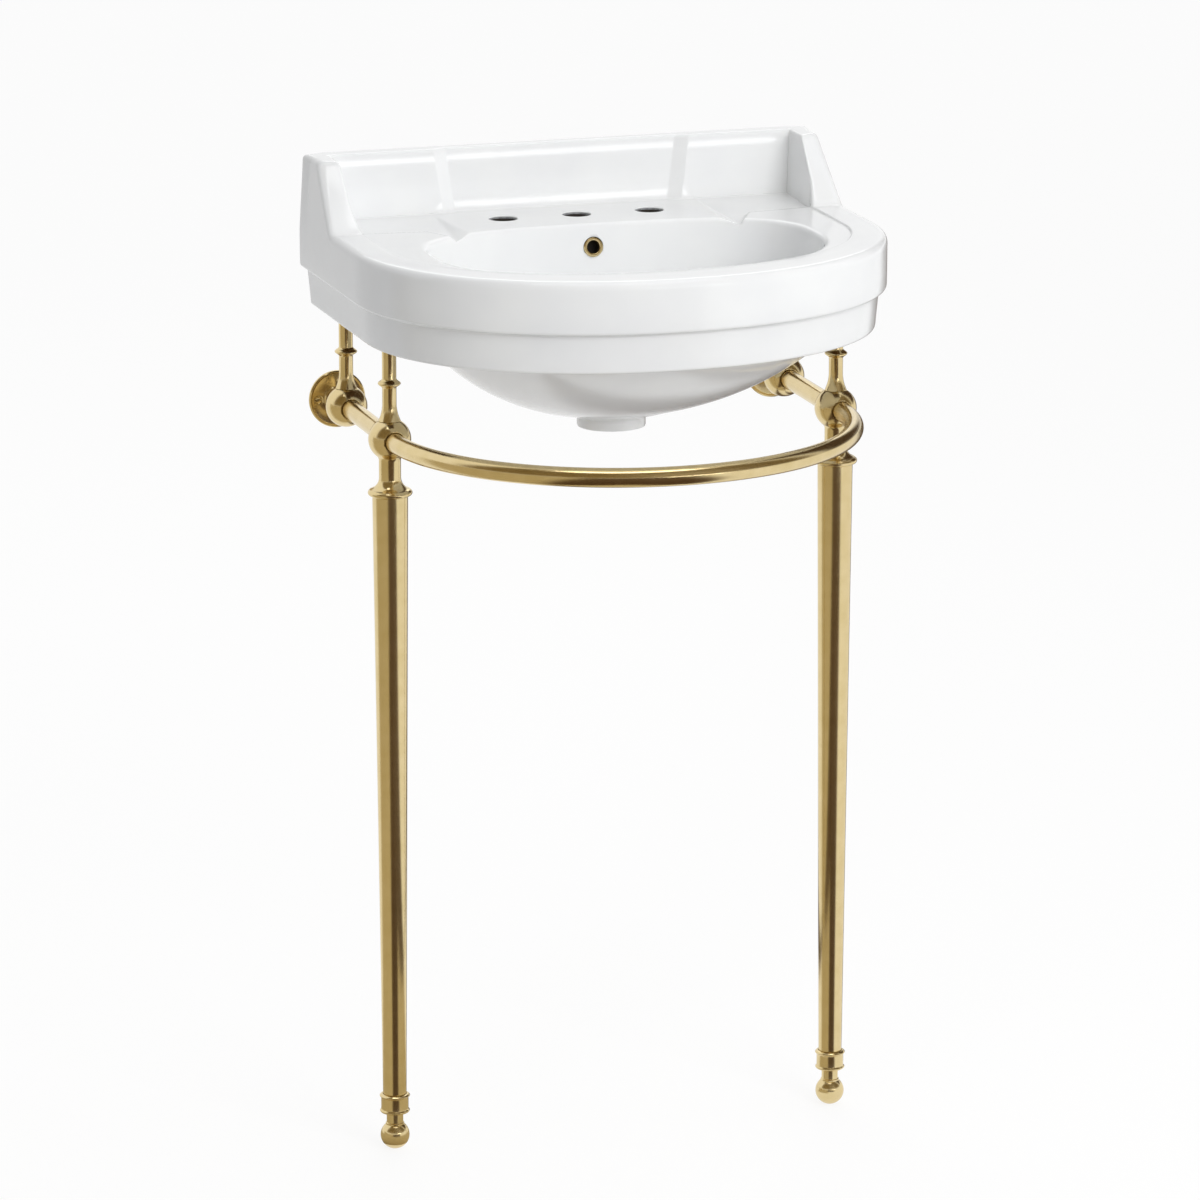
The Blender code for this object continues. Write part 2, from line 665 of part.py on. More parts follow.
def basin():
    """The ceramic basin as one body."""
    body = skirt_body()
    rib, duct = duct_pieces()
    combine(body, "UNION", bowl_underside(), outlet(), rib)
    combine(body, "DIFFERENCE", ledge_cutter())
    combine(body, "UNION", splashback(), *[wing(name, sign) for name, sign in sides()])
    combine(body, "DIFFERENCE", bowl_inside())
    for name, sign in sides():
        combine(body, "DIFFERENCE", dish_cutter(name, sign))
    combine(body, "DIFFERENCE", waste_cutter(), duct, *overflow_cutters())
    roof = DECK_Z - DECK_THICKNESS
    below = BASIN_UNDERSIDE_Z - OVERRUN
    combine(body, "DIFFERENCE", box_cutter(
        "side_pocket", (-SIDE_POCKET_HALF_WIDTH, POCKET_BACK_REACH, below),
        (SIDE_POCKET_HALF_WIDTH, POCKET_FRONT_REACH, SIDE_POCKET_ROOF_Z)))
    combine(body, "DIFFERENCE", box_cutter(
        "tap_pocket", (-POCKET_HALF_WIDTH, POCKET_BACK_REACH, SIDE_POCKET_ROOF_Z - OVERRUN),
        (POCKET_HALF_WIDTH, POCKET_FRONT_REACH, roof)))
    for number, place in enumerate((-1, 0, 1)):
        combine(body, "DIFFERENCE", tap_hole(number + 1, place * TAP_SPACING))
    for name, sign in sides():
        hole = rod("fixing_hole_" + name, FIXING_HOLE_DIAMETER / 2, POCKET_BACK_REACH + 2 * OVERRUN,
                   STUD_STEPS, (sign * FIXING_HOLE_X, part_y(POCKET_BACK_REACH + OVERRUN), FIXING_HOLE_Z),
                   (-math.pi / 2, 0, 0))
        combine(body, "DIFFERENCE", hole)
    return body


def overflow_ring():
    """The brass trim ring that lines the overflow hole."""
    seat, outward, rotation = overflow_frame()
    outer = OVERFLOW_RING_DIAMETER / 2
    bore = OVERFLOW_BORE_DIAMETER / 2
    sleeve = OVERFLOW_SLEEVE_DIAMETER / 2
    thick = OVERFLOW_RING_THICKNESS
    profile = [(bore, thick / 2), (bore + thick / 2, thick), (outer - thick / 2, thick), (outer, thick / 2),
               (outer, 0), (sleeve, 0), (sleeve, -OVERFLOW_SLEEVE_LENGTH), (bore, -OVERFLOW_SLEEVE_LENGTH)]
    return turned("overflow_ring", profile, OVERFLOW_STEPS, "brushed_gold_brass",
                  seat + outward * GAP, rotation, closed=True)


def rail():
    """The towel rail: one tube from wall flange to wall flange, bent to a round bow in front."""
    curve = bpy.data.curves.new("rail_path", "CURVE")
    curve.dimensions = "3D"
    curve.bevel_depth = RAIL_DIAMETER / 2
    curve.bevel_resolution = RAIL_SECTION_STEPS
    end = part_y(ROSE_SOCKET_FLOOR + GAP)
    bend_y = part_y(LEG_REACH + RAIL_STRAIGHT)
    path = [(-LEG_X, end)]
    for i in range(RAIL_BEND_POINTS):
        turn = math.pi * i / (RAIL_BEND_POINTS - 1)
        path.append((-LEG_X * math.cos(turn), bend_y - RAIL_BEND_REACH * math.sin(turn)))
    path.append((LEG_X, end))
    line = curve.splines.new("POLY")
    line.points.add(len(path) - 1)
    for point, (x, y) in zip(line.points, path):
        point.co = (x, y, RAIL_HEIGHT, 1)
    guide = bpy.data.objects.new("rail_guide", curve)
    bpy.data.collections[CUTTERS].objects.link(guide)
    tube = curve_to_mesh(guide, "towel_rail", "brushed_gold_brass")
    wall = tube.modifiers.new("Wall", "SOLIDIFY")
    wall.thickness = RAIL_WALL
    wall.offset = -1
    return tube


def ball_top():
    """Profile from the stud hole over the post's seat to the widest part of a ball."""
    lift = math.degrees(math.asin(POST_SEAT_RISE / BALL_R))
    return [(0, 0), (STUD_HOLE_R, 0), (STUD_HOLE_R, POST_SEAT_RISE)] + arc((0, 0), BALL_R, lift, 0, 5)


def rail_hole(name, sign, reach):
    """Cutter for the rail's way through a ball."""
    start = (sign * LEG_X, part_y(reach + BALL_R + OVERRUN), RAIL_HEIGHT)
    return rod("rail_hole_" + name, RAIL_HOLE_R, BALL_DIAMETER + 2 * OVERRUN, BALL_STEPS, start,
               (-math.pi / 2, 0, 0))


def front_fitting(name, sign):
    """Ball, neck and leg flange turned in one, with a spigot that plugs the leg."""
    r = NECK_DIAMETER / 2
    middle = -math.sqrt((BALL_R + NECK_FILLET) ** 2 - (r + NECK_FILLET) ** 2)
    meet = math.degrees(math.atan2(middle, r + NECK_FILLET))
    lip = LEG_FLANGE_DIAMETER / 2 - LEG_FLANGE_LIP
    spigot = leg_inner_radius(LEG_TOP_Z - LEG_SPIGOT_LENGTH) - GAP
    base = -LEG_FLANGE_DROP - LEG_FLANGE_LIP
    end = base - LEG_SPIGOT_LENGTH
    profile = ball_top()
    profile += arc((0, 0), BALL_R, 0, meet, 5)[1:]
    profile += arc((r + NECK_FILLET, middle), NECK_FILLET, 180 + meet, 180, 3)[1:]
    profile += arc((r + COVE_RADIUS, -NECK_END_DROP), COVE_RADIUS, 180, 180 + COVE_SWEEP, 5)
    profile += arc((lip, -LEG_FLANGE_DROP), LEG_FLANGE_LIP, 60, -90, 5)
    profile += [(spigot, base), (spigot, end), (0, end)]
    piece = turned("front_ball_fitting_" + name, profile, BALL_STEPS, "brushed_gold_brass",
                   (sign * LEG_X, part_y(LEG_REACH), RAIL_HEIGHT))
    combine(piece, "DIFFERENCE", rail_hole("front_" + name, sign, LEG_REACH))
    return piece


def rear_fitting(name, sign):
    """The plain ball near the wall."""
    profile = ball_top() + arc((0, 0), BALL_R, 0, -90, 7)[1:-1] + [(0, -BALL_R)]
    piece = turned("rear_ball_fitting_" + name, profile, BALL_STEPS, "brushed_gold_brass",
                   (sign * LEG_X, part_y(REAR_REACH), RAIL_HEIGHT))
    combine(piece, "DIFFERENCE", rail_hole("rear_" + name, sign, REAR_REACH))
    return piece


def bell(base, peak, height, count):
    """A smooth bead on a stem: the squared cosine of the height within the bead."""
    points = []
    for i in range(count):
        share = 1 - 2 * i / (count - 1)
        points.append((base + (peak - base) * math.cos(math.pi / 2 * share) ** 2, share * height / 2))
    return points


def post_parts(name, sign, reach):
    """A support post between ball and basin, its pad and the stud that locks it to the rail."""
    place = (sign * LEG_X, part_y(reach))
    seat = RAIL_HEIGHT + POST_SEAT_RISE + GAP
    length = BASIN_UNDERSIDE_Z - GAP - PAD_THICKNESS - GAP - seat
    r = POST_DIAMETER / 2
    head = POST_HEAD_DIAMETER / 2
    profile = [(0, length), (head, length), (head, length - POST_HEAD_THICKNESS),
               (r, length - 2 * POST_HEAD_THICKNESS)]
    bead = bell(r, POST_BEAD_DIAMETER / 2, POST_BEAD_HEIGHT, 6)
    profile += [(radius, POST_BEAD_RISE + z) for radius, z in bead]
    for i in range(5):
        share = i / 4
        profile.append((r + (POST_SEAT_R - r) * share ** 2, POST_FLARE_HEIGHT * (1 - share)))
    profile += [(STUD_HOLE_R, 0), (STUD_HOLE_R, POST_BORE_DEPTH), (0, POST_BORE_DEPTH)]
    turned("support_post_" + name, profile, POST_STEPS, "brushed_gold_brass", (*place, seat))
    pad_z = BASIN_UNDERSIDE_Z - GAP - PAD_THICKNESS
    pad = PAD_DIAMETER / 2
    turned("post_pad_" + name, [(0, PAD_THICKNESS), (pad, PAD_THICKNESS), (pad, 0), (0, 0)],
           POST_STEPS, "white_nylon", (*place, pad_z))
    stud = STUD_DIAMETER / 2
    low = RAIL_HEIGHT + RAIL_DIAMETER / 2 + GAP
    tall = seat + POST_BORE_DEPTH - GAP - low
    turned("post_stud_" + name, [(0, tall), (stud, tall), (stud, 0), (0, 0)],
           STUD_STEPS, "zinc_steel", (*place, low))


def leg_outer_radius(z):
    """Outside radius of the tapered leg at a height."""
    share = (z - LEG_BOTTOM_Z) / (LEG_TOP_Z - LEG_BOTTOM_Z)
    return (LEG_BOTTOM_DIAMETER + (LEG_TOP_DIAMETER - LEG_BOTTOM_DIAMETER) * share) / 2


def leg_inner_radius(z):
    """Inside radius of the tapered leg at a height."""
    return leg_outer_radius(z) - LEG_WALL


def leg(name, sign):
    """A tapered tube leg, open at both ends."""
    profile = [(leg_outer_radius(LEG_TOP_Z), LEG_TOP_Z), (leg_outer_radius(LEG_BOTTOM_Z), LEG_BOTTOM_Z),
               (leg_inner_radius(LEG_BOTTOM_Z), LEG_BOTTOM_Z), (leg_inner_radius(LEG_TOP_Z), LEG_TOP_Z)]
    turned("leg_" + name, profile, LEG_STEPS, "brushed_gold_brass",
           (sign * LEG_X, part_y(LEG_REACH), 0), closed=True)


def ferrule(name, sign):
    """The turned socket under a leg: a plug inside the tube, a cup round it and two beads."""
    body = FERRULE_BODY_DIAMETER / 2
    plug = leg_inner_radius(LEG_BOTTOM_Z) - GAP
    cup = leg_outer_radius(FERRULE_BOTTOM + FERRULE_HEIGHT) + GAP
    bore = FOOT_STEM_DIAMETER / 2 + THREAD_PLAY
    cup_floor = FERRULE_HEIGHT - FERRULE_CUP_DEPTH
    plug_top = FERRULE_HEIGHT + FERRULE_PLUG_RISE
    half = FERRULE_BEAD_HEIGHT / 2
    profile = [(0, plug_top), (plug, plug_top), (plug, cup_floor), (cup, cup_floor), (cup, FERRULE_HEIGHT)]
    for peak, middle, count in ((FERRULE_TOP_BEAD_DIAMETER / 2, FERRULE_HEIGHT - half, 5),
                                (FERRULE_LOW_BEAD_DIAMETER / 2, half, 5)):
        profile += [(radius, middle + z) for radius, z in bell(body, peak, FERRULE_BEAD_HEIGHT, count)]
    bore_top = FOOT_STEM_LENGTH + GAP
    profile += [(bore, 0), (bore, bore_top), (0, bore_top)]
    turned("leg_ferrule_" + name, profile, FERRULE_STEPS, "brushed_gold_brass",
           (sign * LEG_X, part_y(LEG_REACH), FERRULE_BOTTOM))


def foot(name, sign):
    """A ball foot with a collar, a neck and a threaded stem that screws up into the ferrule."""
    ball = FOOT_BALL_DIAMETER / 2
    flat = FOOT_FLAT_DIAMETER / 2
    neck = FOOT_NECK_DIAMETER / 2
    collar = FOOT_COLLAR_DIAMETER / 2
    stem = FOOT_STEM_DIAMETER / 2
    centre = math.sqrt(ball ** 2 - flat ** 2)
    neck_top = FERRULE_BOTTOM - GAP
    low = math.degrees(math.asin(centre / ball))
    high = math.degrees(math.acos(collar / ball))
    collar_z = centre + ball * math.sin(math.radians(high))
    profile = [(0, neck_top + FOOT_STEM_LENGTH), (stem, neck_top + FOOT_STEM_LENGTH), (stem, neck_top),
               (neck, neck_top), (neck, collar_z + FOOT_COLLAR_HEIGHT),
               (collar, collar_z + FOOT_COLLAR_HEIGHT / 2)]
    profile += arc((0, centre), ball, high, -low, 8)
    profile += [(0, 0)]
    turned("ball_foot_" + name, profile, FOOT_STEPS, "brushed_gold_brass",
           (sign * LEG_X, part_y(LEG_REACH), 0))


def wall_flange(name, sign):
    """The dished rose against the wall, with a hub that takes the rail's end, and its screws."""
    outer = ROSE_DIAMETER / 2
    hub = ROSE_HUB_DIAMETER / 2
    hole = RAIL_HOLE_R
    face = ROSE_RIM_THICKNESS
    dish = ROSE_DISH_THICKNESS
    profile = [(0, ROSE_SOCKET_FLOOR), (hole, ROSE_SOCKET_FLOOR), (hole, ROSE_HUB_LENGTH),
               (hub, ROSE_HUB_LENGTH), (hub, face + ROSE_RIM_WIDTH),
               (hub + ROSE_RIM_WIDTH, face), (ROSE_SCREW_RADIUS, dish),
               (outer - 2 * ROSE_RIM_WIDTH, dish), (outer - ROSE_RIM_WIDTH, face), (outer, face - ROSE_RIM_WIDTH),
               (outer, 0), (0, 0)]
    place = (sign * LEG_X, WALL_Y, RAIL_HEIGHT)
    turn = (math.pi / 2, 0, 0)
    rose = turned("wall_flange_" + name, profile, ROSE_STEPS, "brushed_gold_brass", place, turn)
    shank = SCREW_SHANK_DIAMETER / 2
    head = SCREW_HEAD_DIAMETER / 2
    top = ROSE_DISH_THICKNESS
    under = top - SCREW_HEAD_HEIGHT
    for side, offset in (("outer", sign), ("inner", -sign)):
        x = place[0] + offset * ROSE_SCREW_RADIUS
        where = (x, WALL_Y, RAIL_HEIGHT)
        sink = [(0, top + OVERRUN), (head + GAP, top + OVERRUN), (head + GAP, top), (shank + GAP, under),
                (shank + GAP, -OVERRUN), (0, -OVERRUN)]
        combine(rose, "DIFFERENCE", turned("sink_%s_%s" % (name, side), sink, SCREW_STEPS,
                                           location=where, rotation=turn))
        screw = [(0, top), (head, top), (shank, under), (shank, GAP), (0, GAP)]
        turned("flange_screw_%s_%s" % (name, side), screw, SCREW_STEPS, "brushed_gold_brass", where, turn)


def build():
    """Build the whole console sink."""
    clear_scene()
    collection(PARTS)
    collection(CUTTERS)
    basin()
    overflow_ring()
    rail()
    for name, sign in sides():
        front_fitting(name, sign)
        rear_fitting(name, sign)
        post_parts("front_" + name, sign, LEG_REACH)
        post_parts("rear_" + name, sign, REAR_REACH)
        leg(name, sign)
        ferrule(name, sign)
        foot(name, sign)
        wall_flange(name, sign)


build()
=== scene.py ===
"""Looks of the console sink: glazed china basin on a satin gold brass stand with a bowed towel rail.

Lengths are metres. A reach is a distance out from the wall, which stands at Y = WALL_Y.
"""

import math

import bpy
import numpy as np
from mathutils import Matrix, Vector


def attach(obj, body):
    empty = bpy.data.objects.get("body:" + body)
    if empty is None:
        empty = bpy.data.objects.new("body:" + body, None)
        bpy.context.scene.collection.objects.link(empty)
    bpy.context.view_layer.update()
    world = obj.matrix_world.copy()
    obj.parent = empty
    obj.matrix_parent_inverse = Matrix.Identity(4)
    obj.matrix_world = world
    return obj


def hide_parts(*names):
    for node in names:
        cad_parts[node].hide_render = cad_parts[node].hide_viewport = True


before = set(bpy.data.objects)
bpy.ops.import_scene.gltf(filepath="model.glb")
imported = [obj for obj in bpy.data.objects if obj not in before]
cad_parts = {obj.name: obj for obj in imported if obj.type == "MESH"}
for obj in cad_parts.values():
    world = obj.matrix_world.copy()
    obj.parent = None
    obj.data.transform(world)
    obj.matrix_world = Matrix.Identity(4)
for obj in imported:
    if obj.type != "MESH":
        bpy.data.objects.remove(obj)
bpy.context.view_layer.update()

# Stand
WALL_Y = 0.21875
LEG_X = 0.230
LEG_REACH = 0.192
REAR_REACH = 0.036
RAIL_Z = 0.725
RAIL_R = 0.0095
RAIL_WALL = 0.0012
RAIL_STRAIGHT = 0.018
RAIL_BOW = 0.218
FIT = 0.0003
BALL_R = 0.021
LEG_TOP_Z = 0.6687
LEG_TOP_R = 0.0175
LEG_BOTTOM_R = 0.0117
FERRULE_Z = 0.0372
LEG_BOTTOM_Z = 0.0540

STUD_R = 0.003
STUD_HOLE_R = STUD_R + FIT
LEG_WALL = 0.0015
STEM_R = 0.004
STEM_LENGTH = 0.029
THREAD_PITCH = 0.00125
THREAD_DEPTH = 0.0006
FERRULE_H = 0.020
NECK_R = 0.0108
NECK_FILLET = 0.006
NECK_END_DROP = 0.038
COVE_R = 0.0125
FLANGE_R = 0.0219
FLANGE_LIP = 0.0028
FLANGE_DROP = 0.0532
POST_R = 0.007
POST_SEAT_R = 0.011
POST_SEAT_RISE = math.sqrt(BALL_R ** 2 - POST_SEAT_R ** 2)
POST_HEAD_R = 0.009
POST_BEAD_R = 0.0113
POST_FLARE = 0.017
POST_BORE = 0.0125
PAD_R = 0.009
PAD_THICKNESS = 0.0015
ROSE_R = 0.029
HUB_R = 0.01225
ROSE_FLOOR = 0.0025
SCREW_REACH = 0.020
SLOT_HALF = 0.005
SLOT_REACH = 0.0014
SLOT_WIDTH = 0.001
OVERFLOW_Z = 0.888
TAP_PITCH = 0.076
TAP_REACH = 0.067
TAP_HOLE_R = 0.01425
TAP_ROUND = 0.0010
TAP_GLAZE_DEPTH = 0.0028
TAP_BORE_DEPTH = 0.023

# Basin: heights and plan
HALF = 0.2665
BACK_REACH = 0.0004
FRONT_REACH = 0.421
SIDE_REACH = 0.198
FRONT_POWER = 2.1
RIM_Z = 0.913
DECK_Z = 0.911
SPLASH_Z = 0.975
UNDER_Z = 0.822
RIM_SIDE = 0.0345
RIM_FRONT = 0.047

# Basin: bowl
BOWL_HALF = 0.200
BOWL_BACK = 0.114
BOWL_FRONT = 0.143
BOWL_REACH = 0.235
WASTE_REACH = 0.180
BOWL_FLOOR_Z = 0.744
BOWL_RADIUS = 0.258
BOWL_SLOPE = 0.20
BOWL_END_Z = 0.7459
BOWL_LOPSIDED_SHARE = 0.35
BOWL_ROUND_R = 0.035
BOWL_ROUND_SPAN = 0.04
SHELL = 0.012
LIP = 0.006
RIB_HALF = 0.0165
RIB_ROUND = 0.003

# Basin: splashback and wings, with the spans and counts of section lines, which crowd at the
# panel's step and at the dish's apex
SPLASH_FACE = 0.018
PANEL_SET_BACK = 0.005
PANEL_EDGE = 0.111
PANEL_STEP = 0.0135
PANEL_SOFT = 0.0009
WING_X = 0.236
WING_DROP_REACH = 0.058
WING_FOOT_REACH = 0.112
WING_TOP_SOFT = 0.003
WING_FOOT_SOFT = 0.004
LINE_SPANS = ((0, 0.107, 28), (0.1095, 0.1125, 7), (0.115, 0.1205, 4), (0.1230, 0.1260, 7),
              (0.128, 0.136, 4), (0.1367, 0.1377, 12), (0.139, WING_X, 40))

# Basin: hollows behind the bowl as two corners in (x, reach, z), and the wall bolts' holes
POCKET = ((-0.185, 0.026, 0.810), (0.185, 0.0965, 0.880))
TAP_TAIL_SPACE = ((-0.100, 0.026, 0.870), (0.100, 0.0965, 0.893))
BOLT_X = 0.140
BOLT_Z = 0.850
BOLT_R = 0.006
BOLT_DEPTH = 0.030
OVERRUN = 0.005

# Soap dishes: where the shelf starts, and how much each surface falls or rises per length
DISH_BACK = 0.027
DISH_LOW_Z = 0.880
DISH_APEX_X = 0.137
DISH_FALL = 0.050
FACET_FALL = 0.347
FACET_DRIFT = 0.025
CORNER_X = 0.165
CORNER_REACH = 0.106
FRONT_SLANT = 0.11
DRAIN_SLANT = 0.52
DISH_WALL_RISE = 1.5
DISH_CREASE = 0.0009

PHOTO_PIXELS = 1200

# Cards that only mirrored rays meet
DARK_CARD = "#50381B"
# Height of the dark cards that paint the basin's shaded underside into reflections
UNDERSIDE_SHADE_Z = 0.8195


def linear(code):
    """An sRGB hex colour as linear red, green, blue and alpha."""
    parts = [int(code[i:i + 2], 16) / 255 for i in (1, 3, 5)]
    return (*[c / 12.92 if c <= 0.04045 else ((c + 0.055) / 1.055) ** 2.4 for c in parts], 1.0)


def wall_y(reach):
    """Turn a distance out from the wall into Y."""
    return WALL_Y - reach


# Materials

def add(tree, kind, settings=None, **links):
    """Add a node, set its properties and sockets, and link sockets named in links to outputs."""
    node = tree.nodes.new(kind)
    for key, value in (settings or {}).items():
        if isinstance(key, int) or key in node.inputs:
            node.inputs[key].default_value = value
        else:
            setattr(node, key, value)
    for key, output in links.items():
        tree.links.new(output, node.inputs[key.replace("_", " ")])
    return node


def new_material(name, settings):
    """Make a node material from a shader with its settings, joined to the output."""
    made = bpy.data.materials.new(name)
    made.use_nodes = True
    tree = made.node_tree
    tree.nodes.clear()
    shader = add(tree, "ShaderNodeBsdfPrincipled", settings)
    out = add(tree, "ShaderNodeOutputMaterial")
    tree.links.new(shader.outputs[0], out.inputs[0])
    return made, tree, shader


def ramp(tree, factor, stops):
    """A colour ramp through (place, hex colour) stops."""
    node = add(tree, "ShaderNodeValToRGB", None, Fac=factor)
    band = node.color_ramp
    while len(band.elements) < len(stops):
        band.elements.new(0.5)
    for element, (place, code) in zip(band.elements, stops):
        element.position = place
        element.color = linear(code)
    return node.outputs["Color"]


def tint(tree, shader, noise, *stops):
    """Colour a finish by a noise, through a ramp of (place, hex colour) stops."""
    tree.links.new(ramp(tree, noise.outputs["Fac"], stops), shader.inputs["Base Color"])


def relief(tree, shader, noise, strength, height):
    """Raise a fine relief on a finish by a noise, up to a height in metres."""
    bump = add(tree, "ShaderNodeBump", {"Strength": strength, "Distance": height},
               Height=noise.outputs["Fac"])
    tree.links.new(bump.outputs[0], shader.inputs["Normal"])


def sheen(tree, shader, noise, low, high):
    """Let a noise vary the roughness of a finish between two values."""
    rough = add(tree, "ShaderNodeMapRange", {"To Min": low, "To Max": high},
                Value=noise.outputs["Fac"])
    tree.links.new(rough.outputs[0], shader.inputs["Roughness"])


def glazed_china():
    """Vitreous china, slip-cast, sprayed with a clear-white glaze and fired."""
    made, tree, shader = new_material("glazed_vitreous_china", {"Roughness": 0.06, "IOR": 1.5})
    place = add(tree, "ShaderNodeTexCoord").outputs["Object"]
    # A fired glaze pools and thins over some 60 mm, which shifts its white by a hair.
    pool = add(tree, "ShaderNodeTexNoise", {"Scale": 16.0, "Detail": 2.0}, Vector=place)
    tint(tree, shader, pool, (0.3, "#F1F2F3"), (0.7, "#F5F6F6"))
    # Glaze ripple: 9 mm waves a few hundredths of a millimetre high.
    ripple = add(tree, "ShaderNodeTexNoise", {"Scale": 110.0, "Detail": 1.0}, Vector=place)
    relief(tree, shader, ripple, 0.10, 0.0002)
    return made


def bore_shade_glaze():
    """Glaze inside the drilled holes, painted grey as shade on the bore's upper wall."""
    made, tree, shader = new_material("painted_shade_in_bores", {"Roughness": 0.12, "IOR": 1.5})
    place = add(tree, "ShaderNodeTexCoord").outputs["Object"]
    # The grey is painted shade for the bore's wall; it comes and goes over some 3 mm.
    shade_mottle = add(tree, "ShaderNodeTexNoise", {"Scale": 330.0, "Detail": 2.0}, Vector=place)
    tint(tree, shader, shade_mottle, (0.3, "#A4A6A8"), (0.7, "#B0B2B4"))
    return made


def fireclay_painted_shade():
    """Unglazed fireclay in hollows which the glaze never reached: a grey-brown body, darkened to near black
    as painted shade for the deep holes and the pocket.
    """
    made, tree, shader = new_material("fireclay_painted_shade", {"Roughness": 0.85})
    place = add(tree, "ShaderNodeTexCoord").outputs["Object"]
    # Grog speckles of about 1 mm in the fired body.
    grog = add(tree, "ShaderNodeTexNoise", {"Scale": 900.0, "Detail": 3.0}, Vector=place)
    # Near-black tones: the body's own grey-brown, deepened by painted shade.
    tint(tree, shader, grog, (0.35, "#2B2622"), (0.65, "#403A33"))
    relief(tree, shader, grog, 0.4, 0.0002)
    return made


def gold_brass(name, axis, lines_mm):
    """Turned and drawn brass, satin-polished and plated gold; its polish lines run round an axis."""
    made, tree, shader = new_material(name, {"Metallic": 1.0})
    place = add(tree, "ShaderNodeTexCoord").outputs["Object"]
    # Polish lines lie lines_mm apart along the axis and stretch far round the piece.
    scale = [1.0 / (lines_mm / 1000) if i == axis else 12.0 for i in range(3)]
    squeezed = add(tree, "ShaderNodeMapping", {"Scale": scale}, Vector=place)
    lines = add(tree, "ShaderNodeTexNoise", {"Scale": 1.0, "Detail": 2.0}, Vector=squeezed.outputs[0])
    # Hand polishing leaves the sheen uneven over about 15 mm.
    cloud = add(tree, "ShaderNodeTexNoise", {"Scale": 65.0, "Detail": 3.0}, Vector=place)
    tint(tree, shader, cloud, (0.25, "#DAC591"), (0.75, "#E3CFA0"))
    sheen(tree, shader, lines, 0.15, 0.23)
    relief(tree, shader, lines, 0.08, 0.00005)
    return made


def moulded_nylon():
    """Natural nylon washers, injection moulded, with a fine eggshell skin."""
    made, tree, shader = new_material("moulded_nylon", {"Roughness": 0.5})
    place = add(tree, "ShaderNodeTexCoord").outputs["Object"]
    skin = add(tree, "ShaderNodeTexNoise", {"Scale": 1400.0, "Detail": 2.0}, Vector=place)
    tint(tree, shader, skin, (0.3, "#DCDAD2"), (0.7, "#E6E4DC"))
    relief(tree, shader, skin, 0.2, 0.00005)
    return made


def zinc_plate():
    """Mild steel studs, cut threads, electroplated with zinc."""
    made, tree, shader = new_material("zinc_plated_steel", {"Metallic": 1.0})
    place = add(tree, "ShaderNodeTexCoord").outputs["Object"]
    bloom = add(tree, "ShaderNodeTexNoise", {"Scale": 500.0, "Detail": 3.0}, Vector=place)
    tint(tree, shader, bloom, (0.3, "#AEB0B2"), (0.7, "#C4C6C8"))
    sheen(tree, shader, bloom, 0.30, 0.45)
    return made


CHINA = glazed_china()
BORE_SHADE_GLAZE = bore_shade_glaze()
CLAY_PAINTED_SHADE = fireclay_painted_shade()
BRASS_TURNED = gold_brass("gold_brass_turned", 2, 0.35)
BRASS_ROSE = gold_brass("gold_brass_rose", 1, 0.35)
BRASS_TUBE = gold_brass("gold_brass_tube", 1, 2.5)
NYLON = moulded_nylon()
ZINC = zinc_plate()


# Meshes

def bezier(a, b, c, count):
    """Points of a quadratic curve from a to c with its corner at b, as an array by rows."""
    t = np.linspace(0, 1, count)[:, None]
    a, b, c = (np.asarray(p, float) for p in (a, b, c))
    return (1 - t) ** 2 * a + 2 * t * (1 - t) * b + t ** 2 * c


def arc(centre, radius, start, end, count):
    """Points of a round stretch of profile between two angles in degrees."""
    turn = np.radians(np.linspace(start, end, count))
    return np.stack([centre[0] + radius * np.cos(turn), centre[1] + radius * np.sin(turn)], 1)


def grid_faces(rows, columns, wrap_rows, wrap_columns):
    """Quads of a grid of vertices, numbered row by row."""
    i = np.arange(rows if wrap_rows else rows - 1)[:, None]
    j = np.arange(columns if wrap_columns else columns - 1)[None, :]
    i2, j2 = (i + 1) % rows, (j + 1) % columns
    corners = [i * columns + j, i * columns + j2, i2 * columns + j2, i2 * columns + j]
    return np.stack([np.broadcast_to(c, (len(i), j.shape[1])) for c in corners], -1).reshape(-1, 4)


def add_piece(name, points, faces, material, sharp=40.0):
    """Put a mesh in the scene, shaded smooth except across edges sharper than an angle."""
    mesh = bpy.data.meshes.new(name)
    mesh.from_pydata(np.asarray(points).tolist(), [], [tuple(f) for f in faces])
    mesh.polygons.foreach_set("use_smooth", np.ones(len(mesh.polygons), bool))
    mesh.set_sharp_from_angle(angle=math.radians(sharp))
    if material:
        mesh.materials.append(material)
    piece = bpy.data.objects.new(name, mesh)
    bpy.context.scene.collection.objects.link(piece)
    return piece


def turned(name, profile, material, place, steps=72, axis="Z", closed=False, sharp=40.0):
    """Turn a profile of (radius, height) about an axis through a place.

    Each row of the grid is one profile point carried round a circle, and a point on the axis
    at either end is a single pole. The profile runs from the top down the outer side.
    """
    profile = np.asarray(profile, float)
    angle = np.linspace(0, 2 * np.pi, steps, endpoint=False)
    r, z = profile[:, :1], profile[:, 1:]
    points = np.stack([r * np.cos(angle), r * np.sin(angle), z + 0 * angle], -1)
    rows = len(profile)
    faces = grid_faces(rows, steps, closed, True)[:, ::-1].tolist()
    flat = points.reshape(-1, 3)
    if not closed:
        poles = [row for row in (0, rows - 1) if profile[row, 0] < 1e-9]
        kept = []
        for face in faces:
            face = [row_start(v, steps, poles) for v in face]
            face = [v for k, v in enumerate(face) if v != face[k - 1]]
            if len(face) > 2:
                kept.append(face)
        used = np.unique([v for face in kept for v in face])
        order = {int(v): k for k, v in enumerate(used)}
        faces = [[order[v] for v in face] for face in kept]
        flat = flat[used]
    if axis == "Y":
        flat = np.stack([flat[:, 0], -flat[:, 2], flat[:, 1]], 1)
    return add_piece(name, flat + np.asarray(place), faces, material, sharp)


def row_start(vertex, steps, poles):
    """Name every vertex of a pole's row by the row's first one."""
    return vertex - vertex % steps if vertex // steps in poles else vertex


